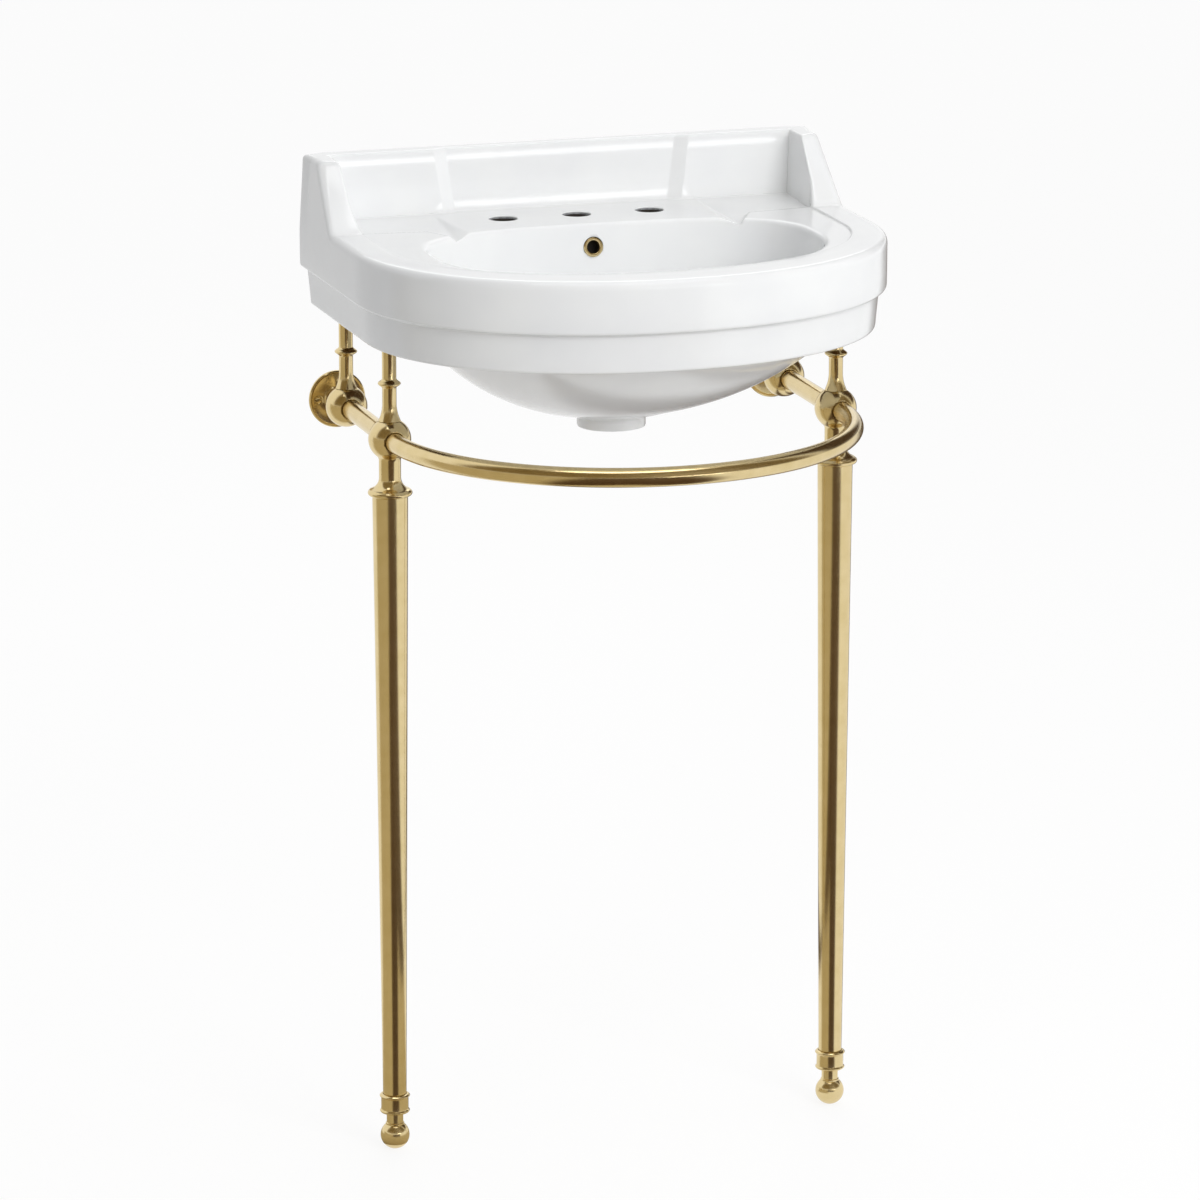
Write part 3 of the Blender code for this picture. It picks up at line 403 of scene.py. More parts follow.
def cut(piece, *tools):
    """Cut tools out of a piece, keep the finished mesh and remove the tools."""
    for tool in tools:
        step = piece.modifiers.new("Cut", "BOOLEAN")
        step.operation = "DIFFERENCE"
        step.solver = "EXACT"
        step.material_mode = "TRANSFER"
        step.object = tool
    bpy.context.view_layer.update()
    done = bpy.data.meshes.new_from_object(piece.evaluated_get(bpy.context.evaluated_depsgraph_get()))
    piece.modifiers.clear()
    old = piece.data
    piece.data = done
    bpy.data.meshes.remove(old)
    done.name = piece.name
    for tool in tools:
        bpy.data.objects.remove(tool, do_unlink=True)


def place_piece(piece, body, slot, *nodes):
    """Ride a piece on a body and let it stand for CAD nodes."""
    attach(piece, body)
    if nodes:
        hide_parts(*nodes)


# Basin

def soft_floor(value, edge):
    """The larger of a value and zero, rounded over an edge to both sides of zero."""
    bent = (value + edge) ** 2 / (4 * edge)
    return np.where(value > edge, value, np.where(value < -edge, 0.0, bent))


def soft_min(a, b, edge):
    """The smaller of two heights, rounded where they cross."""
    return a - soft_floor(a - b, edge)


def soft_max(a, b, edge):
    """The larger of two heights, rounded where they cross."""
    return a + soft_floor(b - a, edge)


def resample(curve, places):
    """Points of a dense curve, at shares of its length, by straight interpolation."""
    steps = np.linalg.norm(np.diff(curve[:, :2], axis=0), axis=1)
    length = np.concatenate([[0], np.cumsum(steps)])
    return np.stack([np.interp(places * length[-1], length, curve[:, k]) for k in range(curve.shape[1])], 1)


def super_curve(half, back, front, back_power, front_power):
    """Right half of a lengthwise-lopsided superellipse, from back middle to front middle.

    Columns are x, reach from its centre, and the two unit coordinates that give every ring of
    the same family: x = half * ux, reach = length * uy.
    """
    turn = np.linspace(-np.pi / 2, np.pi / 2, 8001)
    bend = np.where(turn < 0, 2 / back_power, 2 / front_power)
    ux = np.abs(np.cos(turn)) ** bend
    uy = np.sign(turn) * np.abs(np.sin(turn)) ** bend
    length = np.where(turn < 0, back, front)
    return np.stack([half * ux, length * uy, ux, uy], 1)


def bowl_half(z):
    """Inner half-width of the bowl: a steep wall that runs smoothly into a round floor."""
    wall = BOWL_HALF - BOWL_SLOPE * (DECK_Z - z)
    rise = BOWL_FLOOR_Z + BOWL_RADIUS - z
    floor = np.sqrt(np.maximum(BOWL_RADIUS ** 2 - rise ** 2, 1e-6))
    return (wall ** -8.0 + floor ** -8.0) ** (-1 / 8)


def bowl_centre(half):
    """Reach of the bowl's middle, which moves to the waste as the bowl narrows."""
    return WASTE_REACH + (BOWL_REACH - WASTE_REACH) * np.minimum(half / BOWL_HALF, 1.0) ** 1.6


def ring(half, grow, unit):
    """Plan points of one level of the bowl: a superellipse that turns round near the waste."""
    shaping = min(half / BOWL_HALF / BOWL_LOPSIDED_SHARE, 1.0)
    full = np.where(unit[:, 1] < 0, BOWL_BACK, BOWL_FRONT)
    length = half * (1 + (full / BOWL_HALF - 1) * shaping)
    x = (half + grow) * unit[:, 0]
    reach = bowl_centre(half) + (length + grow) * unit[:, 1]
    round_share = np.clip((BOWL_ROUND_R + BOWL_ROUND_SPAN - half) / BOWL_ROUND_SPAN, 0, 1)
    round_share = round_share ** 2 * (3 - 2 * round_share)
    turn = np.arctan2(unit[:, 1], unit[:, 0])
    x = x + (half * np.cos(turn) - x) * round_share
    reach = reach + (WASTE_REACH + half * np.sin(turn) - reach) * round_share
    return np.stack([x, reach], 1)


def half_lines():
    """The section lines of the basin's right half, from back middle to front middle.

    Each line has its plan points on the outline, the border's inner top edge, its foot and the
    bowl's unit curve, and its kind: 0 along the splashback, 1 along the side, 2 round the front.
    """
    back = np.unique(np.concatenate([np.linspace(*span) for span in LINE_SPANS]))
    side = np.linspace(0.0, WING_FOOT_REACH, 44)[1:]
    flank = np.linspace(WING_FOOT_REACH, SIDE_REACH, 20)[1:]
    front = np.linspace(0, 1, 66)[1:]
    outline, top, foot, kind = [], [], [], []
    # Splashback: the panel between the slanted steps is set back.
    panel_end = PANEL_EDGE + PANEL_STEP
    soft = PANEL_SOFT / PANEL_STEP
    step = (soft_floor((back - PANEL_EDGE) / PANEL_STEP, soft)
            - soft_floor((back - panel_end) / PANEL_STEP, soft))
    face = SPLASH_FACE + PANEL_SET_BACK * step
    top_x = np.interp(back, [0, PANEL_EDGE, panel_end, WING_X], [0, 0.120, 0.1335, 0.2400])
    outline.append(np.stack([back * HALF / WING_X, 0 * back], 1))
    top.append(np.stack([top_x, face - 0.004], 1))
    foot.append(np.stack([back, face], 1))
    kind += [0] * len(back)
    # Side: the wing's foot line eases out to the step inside the rim.
    foot_x = WING_X - 0.004 * np.clip((side - 0.085) / 0.027, 0, 1)
    outline.append(np.stack([HALF + 0 * side, side], 1))
    foot_reach = np.interp(side, [0, WING_FOOT_REACH], [SPLASH_FACE + PANEL_SET_BACK, WING_FOOT_REACH])
    foot.append(np.stack([foot_x, foot_reach], 1))
    high = np.clip((wing_top(foot_reach) - DECK_Z) / (SPLASH_Z - DECK_Z), 0, 1)
    top_reach = np.interp(side, [0, 0.02, WING_FOOT_REACH], [0.019, 0.0352, WING_FOOT_REACH])
    top.append(np.stack([foot_x + 0.0015 + 0.0025 * high, top_reach], 1))
    kind += [1] * len(side)
    outline.append(np.stack([HALF + 0 * flank, flank], 1))
    foot.append(np.stack([HALF - RIM_SIDE + 0 * flank, flank], 1))
    top.append(np.stack([HALF - RIM_SIDE + 0.0015 + 0 * flank, flank], 1))
    kind += [1] * len(flank)
    # Front: rim lines share one unit curve.
    depth = FRONT_REACH - SIDE_REACH
    dense = super_curve(HALF, depth, depth, FRONT_POWER, FRONT_POWER)
    unit = resample(dense[len(dense) // 2:], front)[:, 2:]
    outline.append(np.stack([HALF * unit[:, 0], SIDE_REACH + depth * unit[:, 1]], 1))
    for rows, slope in ((foot, 0), (top, 0.0015)):
        rows.append(np.stack([(HALF - RIM_SIDE + slope) * unit[:, 0],
                              SIDE_REACH + (depth - RIM_FRONT + slope) * unit[:, 1]], 1))
    kind += [2] * len(front)
    outline, top, foot = (np.concatenate(rows) for rows in (outline, top, foot))
    front_unit = np.zeros((len(kind), 2))
    front_unit[-len(front):] = unit
    # Bowl: lines meet the lip square behind the taps and fan out round the corner.
    half_top = float(bowl_half(DECK_Z - LIP))
    lip = super_curve(half_top + LIP, BOWL_BACK + LIP, BOWL_FRONT + LIP, 3.0, 2.2)
    along = np.concatenate([[0], np.cumsum(np.linalg.norm(np.diff(foot, axis=0), axis=1))])
    lengths = np.concatenate([[0], np.cumsum(np.linalg.norm(np.diff(lip[:, :2], axis=0), axis=1))])
    n_back, n_side, n_flank = len(back), len(side), len(flank)
    apex = [int(np.searchsorted(back, x)) for x in LINE_SPANS[-2][:2]]
    marks = [0, *apex, n_back - 1, n_back + n_side - 1, n_back + n_side + n_flank - 1, len(kind) - 1]
    lip_x = [0, 0.1308, 0.1440, 0.185, 0.199, 0.2025]
    right = lip[:len(lip) // 2]
    spots = [float(np.interp(x, right[:, 0], lengths[:len(right)])) for x in lip_x] + [lengths[-1]]
    spot = np.interp(along, along[marks], spots)
    smooth = np.convolve(np.pad(spot, 12, "reflect", reflect_type="odd"), np.ones(25) / 25, "valid")
    near = np.clip((np.arange(len(kind)) - n_back + 30) / 15, 0, 1)
    smooth = spot + (smooth - spot) * near
    bowl = np.stack([np.interp(smooth, lengths, lip[:, k]) for k in (2, 3)], 1)
    return outline, top, foot, bowl, np.array(kind), front_unit


def wing_top(reach):
    """Height of the border's top along a side: the wing, its slope and the rim."""
    fall = (SPLASH_Z - DECK_Z) / (WING_FOOT_REACH - WING_DROP_REACH)
    slope = SPLASH_Z - (reach - WING_DROP_REACH) * fall
    high = soft_min(SPLASH_Z + 0 * reach, slope, WING_TOP_SOFT)
    return soft_max(high, RIM_Z + 0 * reach, WING_FOOT_SOFT)


def dish_height(x, reach):
    """Height of the soap dish's cutting surface.

    The shelf slopes forward from the splashback's foot. A slanted facet rises to the tap deck
    on its inner side, and steep walls stand along its front and along the drain to the bowl.
    """
    shelf = DECK_Z - (reach - DISH_BACK) * DISH_FALL
    facet = DECK_Z - (x - DISH_APEX_X) * FACET_FALL - (reach - DISH_BACK) * FACET_DRIFT
    front = shelf + (reach - CORNER_REACH + (x - CORNER_X) * FRONT_SLANT) * DISH_WALL_RISE
    drain = shelf + (x - CORNER_X + (reach - CORNER_REACH) * DRAIN_SLANT) * DISH_WALL_RISE
    land = soft_min(front, drain, DISH_CREASE)
    return soft_max(soft_max(shelf, facet, DISH_CREASE), land, DISH_CREASE)


def basin_points():
    """Every vertex of the basin: section lines in columns, places along the section in rows.

    A section starts at the skirt's foot, climbs the outside, crosses the border's top, drops
    down its inner face, crosses the deck, goes over the lip, down the bowl and out through the
    waste, and comes back under the belly.
    """
    outline, top, foot, bowl, kind, front_unit = half_lines()
    n = len(kind)
    depth = FRONT_REACH - SIDE_REACH
    back, side, front = kind == 0, kind == 1, kind == 2
    rows = []

    def inset_row(inset, z):
        """The outline drawn in by an inset on its sides and front only."""
        p = outline.copy()
        p[back, 0] *= (HALF - inset) / HALF
        p[side, 0] = HALF - inset
        p[front] = np.stack([(HALF - inset) * front_unit[front, 0],
                             SIDE_REACH + (depth - inset) * front_unit[front, 1]], 1)
        rows.append(np.column_stack([p, np.full(n, z)]))

    # Outside, as (inset, height): the skirt's rounded foot, the cove and the edge of the step.
    foot_edge = bezier((0.0145, UNDER_Z), (0.0110, UNDER_Z), (0.0109, UNDER_Z + 0.0035), 5)
    cove = bezier((0.0078, 0.8578), (0.0075, 0.8610), (0.0042, 0.8613), 5)
    under_step = bezier((0.0028, 0.8614), (0.0004, 0.8620), (0.0002, 0.8650), 5)
    for inset, z in np.concatenate([foot_edge, [[0.0098, 0.838]], cove, under_step, [[0, 0.880]]]):
        inset_row(inset, z)

    crest = np.where(back, SPLASH_Z, wing_top(foot[:, 1]))
    crest[front] = RIM_Z
    tall = np.clip((crest - RIM_Z) / (SPLASH_Z - RIM_Z), 0, 1)
    away = np.abs(np.arange(n) - np.count_nonzero(back) + 1)
    turn = np.clip(away / 8, 0, 1) * np.where(back, -1, 1) * 0.5 + 0.5
    back_roll, rim_roll = 0.0025, 0.0085
    roll = (back_roll + (rim_roll - back_roll) * turn)[:, None]
    lean = 0.0050 * tall[:, None] * turn[:, None]
    width = np.where(back, top[:, 1], np.where(side, outline[:, 0] - top[:, 0],
                                              np.linalg.norm(outline - top, axis=1)))[:, None]
    inward = (top - outline) / width

    def border(w, z):
        """A row at a distance in from the outline, along the line to the inner top edge."""
        rows.append(np.column_stack([outline + inward * w, z]))

    crest = crest[:, None]
    lean_z = 0.900
    for share in (0.0, 0.33, 0.67, 1.0):
        z = lean_z + (crest - roll - lean_z) * share
        border(lean * share, z)
    for t in np.linspace(0, 1, 9)[1:]:
        border(lean + roll * t ** 2, crest - roll * (1 - t) ** 2)
    soft_top = np.minimum(0.0035, (crest - DECK_Z) / 2)
    for share in (0.33, 0.67, 1.0):
        start, end = lean + roll, width - soft_top
        border(start + (end - start) * share, crest)
    drop = foot - top
    tall_face = crest - DECK_Z

    def inner(share, z_share):
        """A row on the border's inner face."""
        rows.append(np.column_stack([top + drop * share, DECK_Z + tall_face * (1 - z_share)]))

    bend = soft_top / tall_face
    for t in np.linspace(0, 1, 6)[1:]:
        rows.append(np.column_stack([top + drop * bend * t ** 2 - inward * soft_top * (1 - t) ** 2,
                                     crest - soft_top * t ** 2]))
    for share in (0.25, 0.5, 0.75, 1.0):
        place = bend + (1 - 2 * bend) * share
        inner(place, place)
    lip_out = ring(float(bowl_half(DECK_Z - LIP)), LIP, bowl)
    deck = lip_out - foot
    deck_length = np.linalg.norm(deck, axis=1)[:, None]
    toe = soft_top / deck_length
    first_cut = len(rows)
    for t in np.linspace(0, 1, 6)[1:]:
        rows.append(np.column_stack([foot - drop * bend * (1 - t) ** 2 + deck * toe * t ** 2,
                                     DECK_Z + soft_top * (1 - t) ** 2]))
    for share in np.linspace(0, 1, 60)[1:-1] ** 1.2:
        rows.append(np.column_stack([foot + deck * (toe + (1 - toe) * share), np.full(n, DECK_Z)]))
    half_top = float(bowl_half(DECK_Z - LIP))
    for t in np.linspace(0, 1, 8):
        rows.append(np.column_stack([ring(half_top, LIP * (1 - t) ** 2, bowl),
                                     np.full(n, DECK_Z - LIP * t ** 2)]))
    z_dense = np.linspace(DECK_Z - LIP, BOWL_END_Z, 4000)
    wall = np.stack([bowl_half(z_dense), z_dense], 1)
    for half, z in resample(wall, np.linspace(0, 1, 40) ** 1.15)[1:]:
        rows.append(np.column_stack([ring(half, 0.0, bowl), np.full(n, z)]))
    last_cut = len(rows)
    # Seat, bore, end face and outside of the waste outlet, as (radius, height).
    waste = [(0.0306, 0.7440), (0.0302, 0.7412), (0.0290, 0.7405), (0.0240, 0.7403), (0.0226, 0.7392),
             (0.0225, 0.7370), (0.0225, 0.7225), (0.0232, 0.7211), (0.0250, 0.7210), (0.0325, 0.7210),
             (0.0336, 0.7213), (0.0340, 0.7225), (0.0340, 0.7290), (0.0343, 0.7315), (0.0360, 0.7335)]
    for radius, z in waste:
        rows.append(np.column_stack([ring(radius, 0.0, bowl), np.full(n, z)]))
    radius = BOWL_RADIUS + SHELL
    middle = BOWL_FLOOR_Z + BOWL_RADIUS
    widest = math.sqrt(radius ** 2 - (middle - UNDER_Z) ** 2)
    neck = 0.0400
    for share in np.linspace(0, 1, 24):
        half = neck + (widest - neck) * share
        z = middle - math.sqrt(radius ** 2 - half ** 2)
        rows.append(np.column_stack([ring(half, 0.0, bowl), np.full(n, z)]))
    last = rows[-1].copy()
    for share in (0.33, 0.67):
        rows.append(last + (rows[0] - last) * share)
    points = np.stack(rows)
    part = points[first_cut:last_cut]
    x, reach, z = part[..., 0], part[..., 1], part[..., 2]
    part[..., 2] = np.where(z > DISH_LOW_Z, soft_min(z, dish_height(x, reach), DISH_CREASE), z)
    return points


def box_tool(low, high, material=None):
    """A box between two corners given as (x, reach, z), to cut with."""
    (x0, r0, z0), (x1, r1, z1) = low, high
    points = [(x, wall_y(r), z) for x in (x0, x1) for r in (r1, r0) for z in (z0, z1)]
    faces = [(0, 1, 3, 2), (4, 6, 7, 5), (0, 4, 5, 1), (2, 3, 7, 6), (0, 2, 6, 4), (1, 5, 7, 3)]
    return add_piece("box_tool", points, faces, material)


def overflow_rib():
    """The rib of china behind the bowl that hides the overflow channel, with rounded edges."""
    outline = [(0.0985, 0.834), (0.0985, 0.770), (0.1315, 0.7213), (0.1550, 0.7213), (0.1560, 0.7355),
               (0.1322, 0.7755), (0.1225, 0.822), (0.1225, 0.834)]
    count = len(outline)
    points = [(x, wall_y(r), z) for x in (-RIB_HALF, RIB_HALF) for r, z in outline]
    sides = [(k, k + count, (k + 1) % count + count, (k + 1) % count) for k in range(count)]
    faces = [tuple(range(count)), tuple(range(2 * count - 1, count - 1, -1))] + sides
    piece = add_piece("china_overflow_rib", points, faces, CHINA)
    step = piece.modifiers.new("Rounded edges", "BEVEL")
    step.width = RIB_ROUND
    step.segments = 5
    place_piece(piece, "sink", "glazed_china", "basin")


def basin():
    """The basin: mirror the right half's section lines and close the grid both ways, then drill."""
    half = basin_points()
    left = half[:, -2:0:-1].copy()
    left[..., 0] *= -1
    whole = np.concatenate([half, left], 1)
    whole[..., 1] = wall_y(np.maximum(whole[..., 1], BACK_REACH))
    rows, columns = whole.shape[:2]
    faces = grid_faces(rows, columns, True, True)
    piece = add_piece("china_basin", whole.reshape(-1, 3), faces, CHINA, 50.0)
    # The pocket's walls and the holes take the dark clay, which carries painted shade.
    cut(piece, box_tool(*POCKET, CLAY_PAINTED_SHADE))
    cut(piece, box_tool(*TAP_TAIL_SPACE, CLAY_PAINTED_SHADE))
    for x in (-TAP_PITCH, 0, TAP_PITCH):
        tap_hole(piece, x)
    seat_r, bore_r, depth = 0.0102, 0.0079, 0.014
    shape = [(0, OVERRUN), (seat_r, OVERRUN), (seat_r, 0), (bore_r, 0), (bore_r, -depth), (0, -depth)]
    hole = turned("overflow_tool", shape, CLAY_PAINTED_SHADE, (0, 0, 0), 48)
    face_overflow(hole)
    cut(piece, hole)
    for x in (-BOLT_X, BOLT_X):
        bolt = [(0, 0.004), (BOLT_R, 0.004), (BOLT_R, -BOLT_DEPTH), (0, -BOLT_DEPTH)]
        cut(piece, turned("bolt_tool", bolt, None, (x, wall_y(BACK_REACH), BOLT_Z), 32, axis="Y"))
    return piece


def tap_hole(piece, x):
    """Cut a tap hole in three steps: the rounded lip, a collar of grey glaze that is painted shade, and the
    bore in dark clay that carries painted shade.
    """
    above, low = DECK_Z + OVERRUN, DECK_Z - TAP_ROUND - 0.0001
    glazed, bottom = DECK_Z - TAP_GLAZE_DEPTH, DECK_Z - TAP_BORE_DEPTH
    edge = arc((TAP_HOLE_R + TAP_ROUND, DECK_Z - TAP_ROUND), TAP_ROUND, 90, 180, 8)
    lip = np.concatenate([[(0, above), (TAP_HOLE_R + TAP_ROUND, above)], edge, [(TAP_HOLE_R, low), (0, low)]])
    cut(piece, turned("lip_tool", lip, CHINA, (x, wall_y(TAP_REACH), 0)))
    for name, start, end, material in (("collar_tool", low, glazed, BORE_SHADE_GLAZE),
                                       ("bore_tool", glazed, bottom, CLAY_PAINTED_SHADE)):
        bore = [(0, start + 0.001), (TAP_HOLE_R, start + 0.001), (TAP_HOLE_R, end), (0, end)]
        cut(piece, turned(name, bore, material, (x, wall_y(TAP_REACH), 0)))


def overflow_seat():
    """Seat point of the overflow ring on the bowl's back wall, and the way it faces."""
    half = float(bowl_half(OVERFLOW_Z))
    reach = float(bowl_centre(half)) - half * BOWL_BACK / BOWL_HALF
    tilt = math.radians(10)
    outward = Vector((0, -math.cos(tilt), math.sin(tilt)))
    return Vector((0, wall_y(reach), OVERFLOW_Z)) - outward * 0.0008, outward


def face_overflow(piece, lift=0.0):
    """Turn a piece made round Z to face out of the overflow hole, and set it on the seat."""
    seat, outward = overflow_seat()
    turn = Vector((0, 0, 1)).rotation_difference(outward).to_matrix().to_4x4()
    piece.data.transform(Matrix.Translation(seat + outward * lift) @ turn)


def eased(profile, radius=0.0004, closed=False):
    """A profile whose hard corners are rounded by a small curve; gentle bends stay as they are."""
    points = np.asarray(profile, float)
    count = len(points)
    rows = []
    for k, corner in enumerate(points):
        before, after = points[k - 1] - corner, points[(k + 1) % count] - corner
        lengths = np.linalg.norm(before), np.linalg.norm(after)
        ends = not closed and k in (0, count - 1)
        if ends or min(lengths) < 1e-9:
            rows.append(corner[None])
            continue
        bend = math.pi - math.acos(np.clip(before @ after / (lengths[0] * lengths[1]), -1, 1))
        if bend < math.radians(20):
            rows.append(corner[None])
            continue
        reach = [min(radius, 0.45 * length) / length for length in lengths]
        rows.append(bezier(corner + before * reach[0], corner, corner + after * reach[1], 4))
    return np.concatenate(rows)


def bead(base, peak, height, middle, count=15):
    """A bead round a stem: the squared cosine of the height within the bead."""
    share = np.linspace(1, -1, count)
    return np.stack([base + (peak - base) * np.cos(np.pi / 2 * share) ** 2, middle + share * height / 2], 1)


def ball_top():
    """Profile from the stud hole over the post's seat to the widest part of a ball."""
    lift = math.degrees(math.asin(POST_SEAT_RISE / BALL_R))
    return [[(0, 0), (STUD_HOLE_R, 0), (STUD_HOLE_R, POST_SEAT_RISE)], arc((0, 0), BALL_R, lift, 0, 14)]


def drilled(piece, x, reach):
    """Drill a ball for the rail, with a slightly eased mouth at both ends."""
    bore = RAIL_R + FIT
    length = 1.2 * BALL_R
    mouth = math.sqrt(BALL_R ** 2 - bore ** 2)
    flare = bore + 0.0006
    profile = [(0, length), (flare + 0.002, length), (flare, mouth), (bore, mouth - 0.0008),
               (bore, 0.0008 - mouth), (flare, -mouth), (flare + 0.002, -length), (0, -length)]
    cut(piece, turned("bore", profile, None, (x, wall_y(reach), RAIL_Z), axis="Y"))


def front_fitting(name, x):
    """Ball, neck and leg flange turned in one, with a spigot that plugs the leg."""
    middle = -math.sqrt((BALL_R + NECK_FILLET) ** 2 - (NECK_R + NECK_FILLET) ** 2)
    meet = math.degrees(math.atan2(middle, NECK_R + NECK_FILLET))
    lip = FLANGE_R - FLANGE_LIP
    base = -FLANGE_DROP - FLANGE_LIP
    spigot = LEG_TOP_R - LEG_WALL - 2 * FIT
    rows = ball_top() + [
        arc((0, 0), BALL_R, 0, meet, 14)[1:],
        arc((NECK_R + NECK_FILLET, middle), NECK_FILLET, 180 + meet, 180, 10)[1:],
        arc((NECK_R + COVE_R, -NECK_END_DROP), COVE_R, 180, 255, 14),
        arc((lip, -FLANGE_DROP), FLANGE_LIP, 60, -90, 12),
        [(spigot, base), (spigot, base - 0.012), (0, base - 0.012)]]
    profile = eased(np.concatenate(rows))
    piece = turned("front_ball_" + name, profile, BRASS_TURNED, (x, wall_y(LEG_REACH), RAIL_Z), 80)
    drilled(piece, x, LEG_REACH)
    place_piece(piece, "sink", "gold_brass", "front_ball_fitting_" + name)


def rear_fitting(name, x):
    """The plain ball near the wall."""
    rows = ball_top() + [arc((0, 0), BALL_R, 0, -90, 26)[1:-1], [(0, -BALL_R)]]
    piece = turned("rear_ball_" + name, eased(np.concatenate(rows)), BRASS_TURNED,
                   (x, wall_y(REAR_REACH), RAIL_Z), 80)
    drilled(piece, x, REAR_REACH)
    place_piece(piece, "sink", "gold_brass", "rear_ball_fitting_" + name)


def post(name, x, reach):
    """A support post with its bead and flared base, the pad on it and the stud inside it."""
    seat = RAIL_Z + POST_SEAT_RISE + FIT
    pad_z = UNDER_Z - FIT - PAD_THICKNESS
    length = pad_z - FIT - seat
    share = np.linspace(0, 1, 16)
    flare = np.stack([POST_R + (POST_SEAT_R - POST_R) * share ** 2, POST_FLARE * (1 - share)], 1)
    rows = [[(0, length), (POST_HEAD_R, length), (POST_HEAD_R, length - 0.0025), (POST_R, length - 0.005)],
            bead(POST_R, POST_BEAD_R, 0.0094, 0.0372), flare,
            [(STUD_HOLE_R, 0), (STUD_HOLE_R, POST_BORE), (0, POST_BORE)]]
    piece = turned("post_" + name, eased(np.concatenate(rows)), BRASS_TURNED, (x, wall_y(reach), seat))
    place_piece(piece, "sink", "gold_brass", "support_post_" + name)
    pad = [(0, PAD_THICKNESS), (PAD_R, PAD_THICKNESS), (PAD_R, 0), (0, 0)]
    piece = turned("pad_" + name, eased(pad), NYLON, (x, wall_y(reach), pad_z))
    place_piece(piece, "sink", "white_nylon", "post_pad_" + name)
    low = RAIL_Z + RAIL_R + FIT
    tall = seat + POST_BORE - FIT - low
    piece = turned("stud_" + name, eased([(0, tall), (STUD_R, tall), (STUD_R, 0), (0, 0)], 0.0006), ZINC,
                   (x, wall_y(reach), low), 40)
    place_piece(piece, "sink", "zinc_steel", "post_stud_" + name)


def leg(name, x):
    """A tapered tube leg, open at both ends."""
    profile = [(LEG_TOP_R, LEG_TOP_Z), (LEG_BOTTOM_R, LEG_BOTTOM_Z),
               (LEG_BOTTOM_R - LEG_WALL, LEG_BOTTOM_Z), (LEG_TOP_R - LEG_WALL, LEG_TOP_Z)]
    piece = turned("tapered_leg_" + name, eased(profile, closed=True), BRASS_TURNED,
                   (x, wall_y(LEG_REACH), 0), 96, closed=True)
    place_piece(piece, "sink", "gold_brass", "leg_" + name)


def leg_r(z):
    """Outer radius of the leg at a height."""
    return LEG_BOTTOM_R + (LEG_TOP_R - LEG_BOTTOM_R) * (z - LEG_BOTTOM_Z) / (LEG_TOP_Z - LEG_BOTTOM_Z)


def ferrule(name, x):
    """The turned socket under a leg: a plug inside the tube, a cup round it and two beads."""
    body, plug = 0.0136, LEG_BOTTOM_R - LEG_WALL - FIT
    cup = leg_r(FERRULE_Z + FERRULE_H) + FIT
    bore = STEM_R + 0.0001
    rows = [[(0, FERRULE_H + 0.018), (plug, FERRULE_H + 0.018), (plug, FERRULE_H - 0.0035),
             (cup, FERRULE_H - 0.0035), (cup, FERRULE_H)],
            bead(body, 0.0152, 0.0044, FERRULE_H - 0.0022)[2:], bead(body, 0.0149, 0.0044, 0.0022)[:-2],
            [(bore, 0), (bore, STEM_LENGTH + FIT), (0, STEM_LENGTH + FIT)]]
    piece = turned("ferrule_" + name, eased(np.concatenate(rows)), BRASS_TURNED,
                   (x, wall_y(LEG_REACH), FERRULE_Z))
    place_piece(piece, "sink", "gold_brass", "leg_ferrule_" + name)


def foot(name, x):
    """A ball foot with a collar and a neck, turned in one with its threaded stem."""
    ball, flat, neck, collar = 0.01445, 0.0040, 0.00825, 0.00925
    centre = math.sqrt(ball ** 2 - flat ** 2)
    neck_top = FERRULE_Z - FIT
    low = math.degrees(math.asin(centre / ball))
    high = math.degrees(math.acos(collar / ball))
    collar_z = centre + ball * math.sin(math.radians(high))
    thread = [(STEM_R - THREAD_DEPTH * (k % 2), neck_top + STEM_LENGTH - 0.0005 - k * THREAD_PITCH / 2)
              for k in range(1, int((STEM_LENGTH - 0.001) * 2 / THREAD_PITCH))]
    rows = [[(0, neck_top + STEM_LENGTH), (STEM_R - THREAD_DEPTH, neck_top + STEM_LENGTH)], thread,
            [(STEM_R - THREAD_DEPTH, neck_top), (neck, neck_top), (neck, collar_z + 0.002),
             (collar, collar_z + 0.0016), (collar, collar_z)],
            arc((0, centre), ball, high, -low, 40), [(0, 0)]]
    piece = turned("foot_ball_" + name, eased(np.concatenate(rows), 0.0003), BRASS_TURNED,
                   (x, wall_y(LEG_REACH), 0), 80)
    place_piece(piece, "foot_" + name, "gold_brass", "ball_foot_" + name)


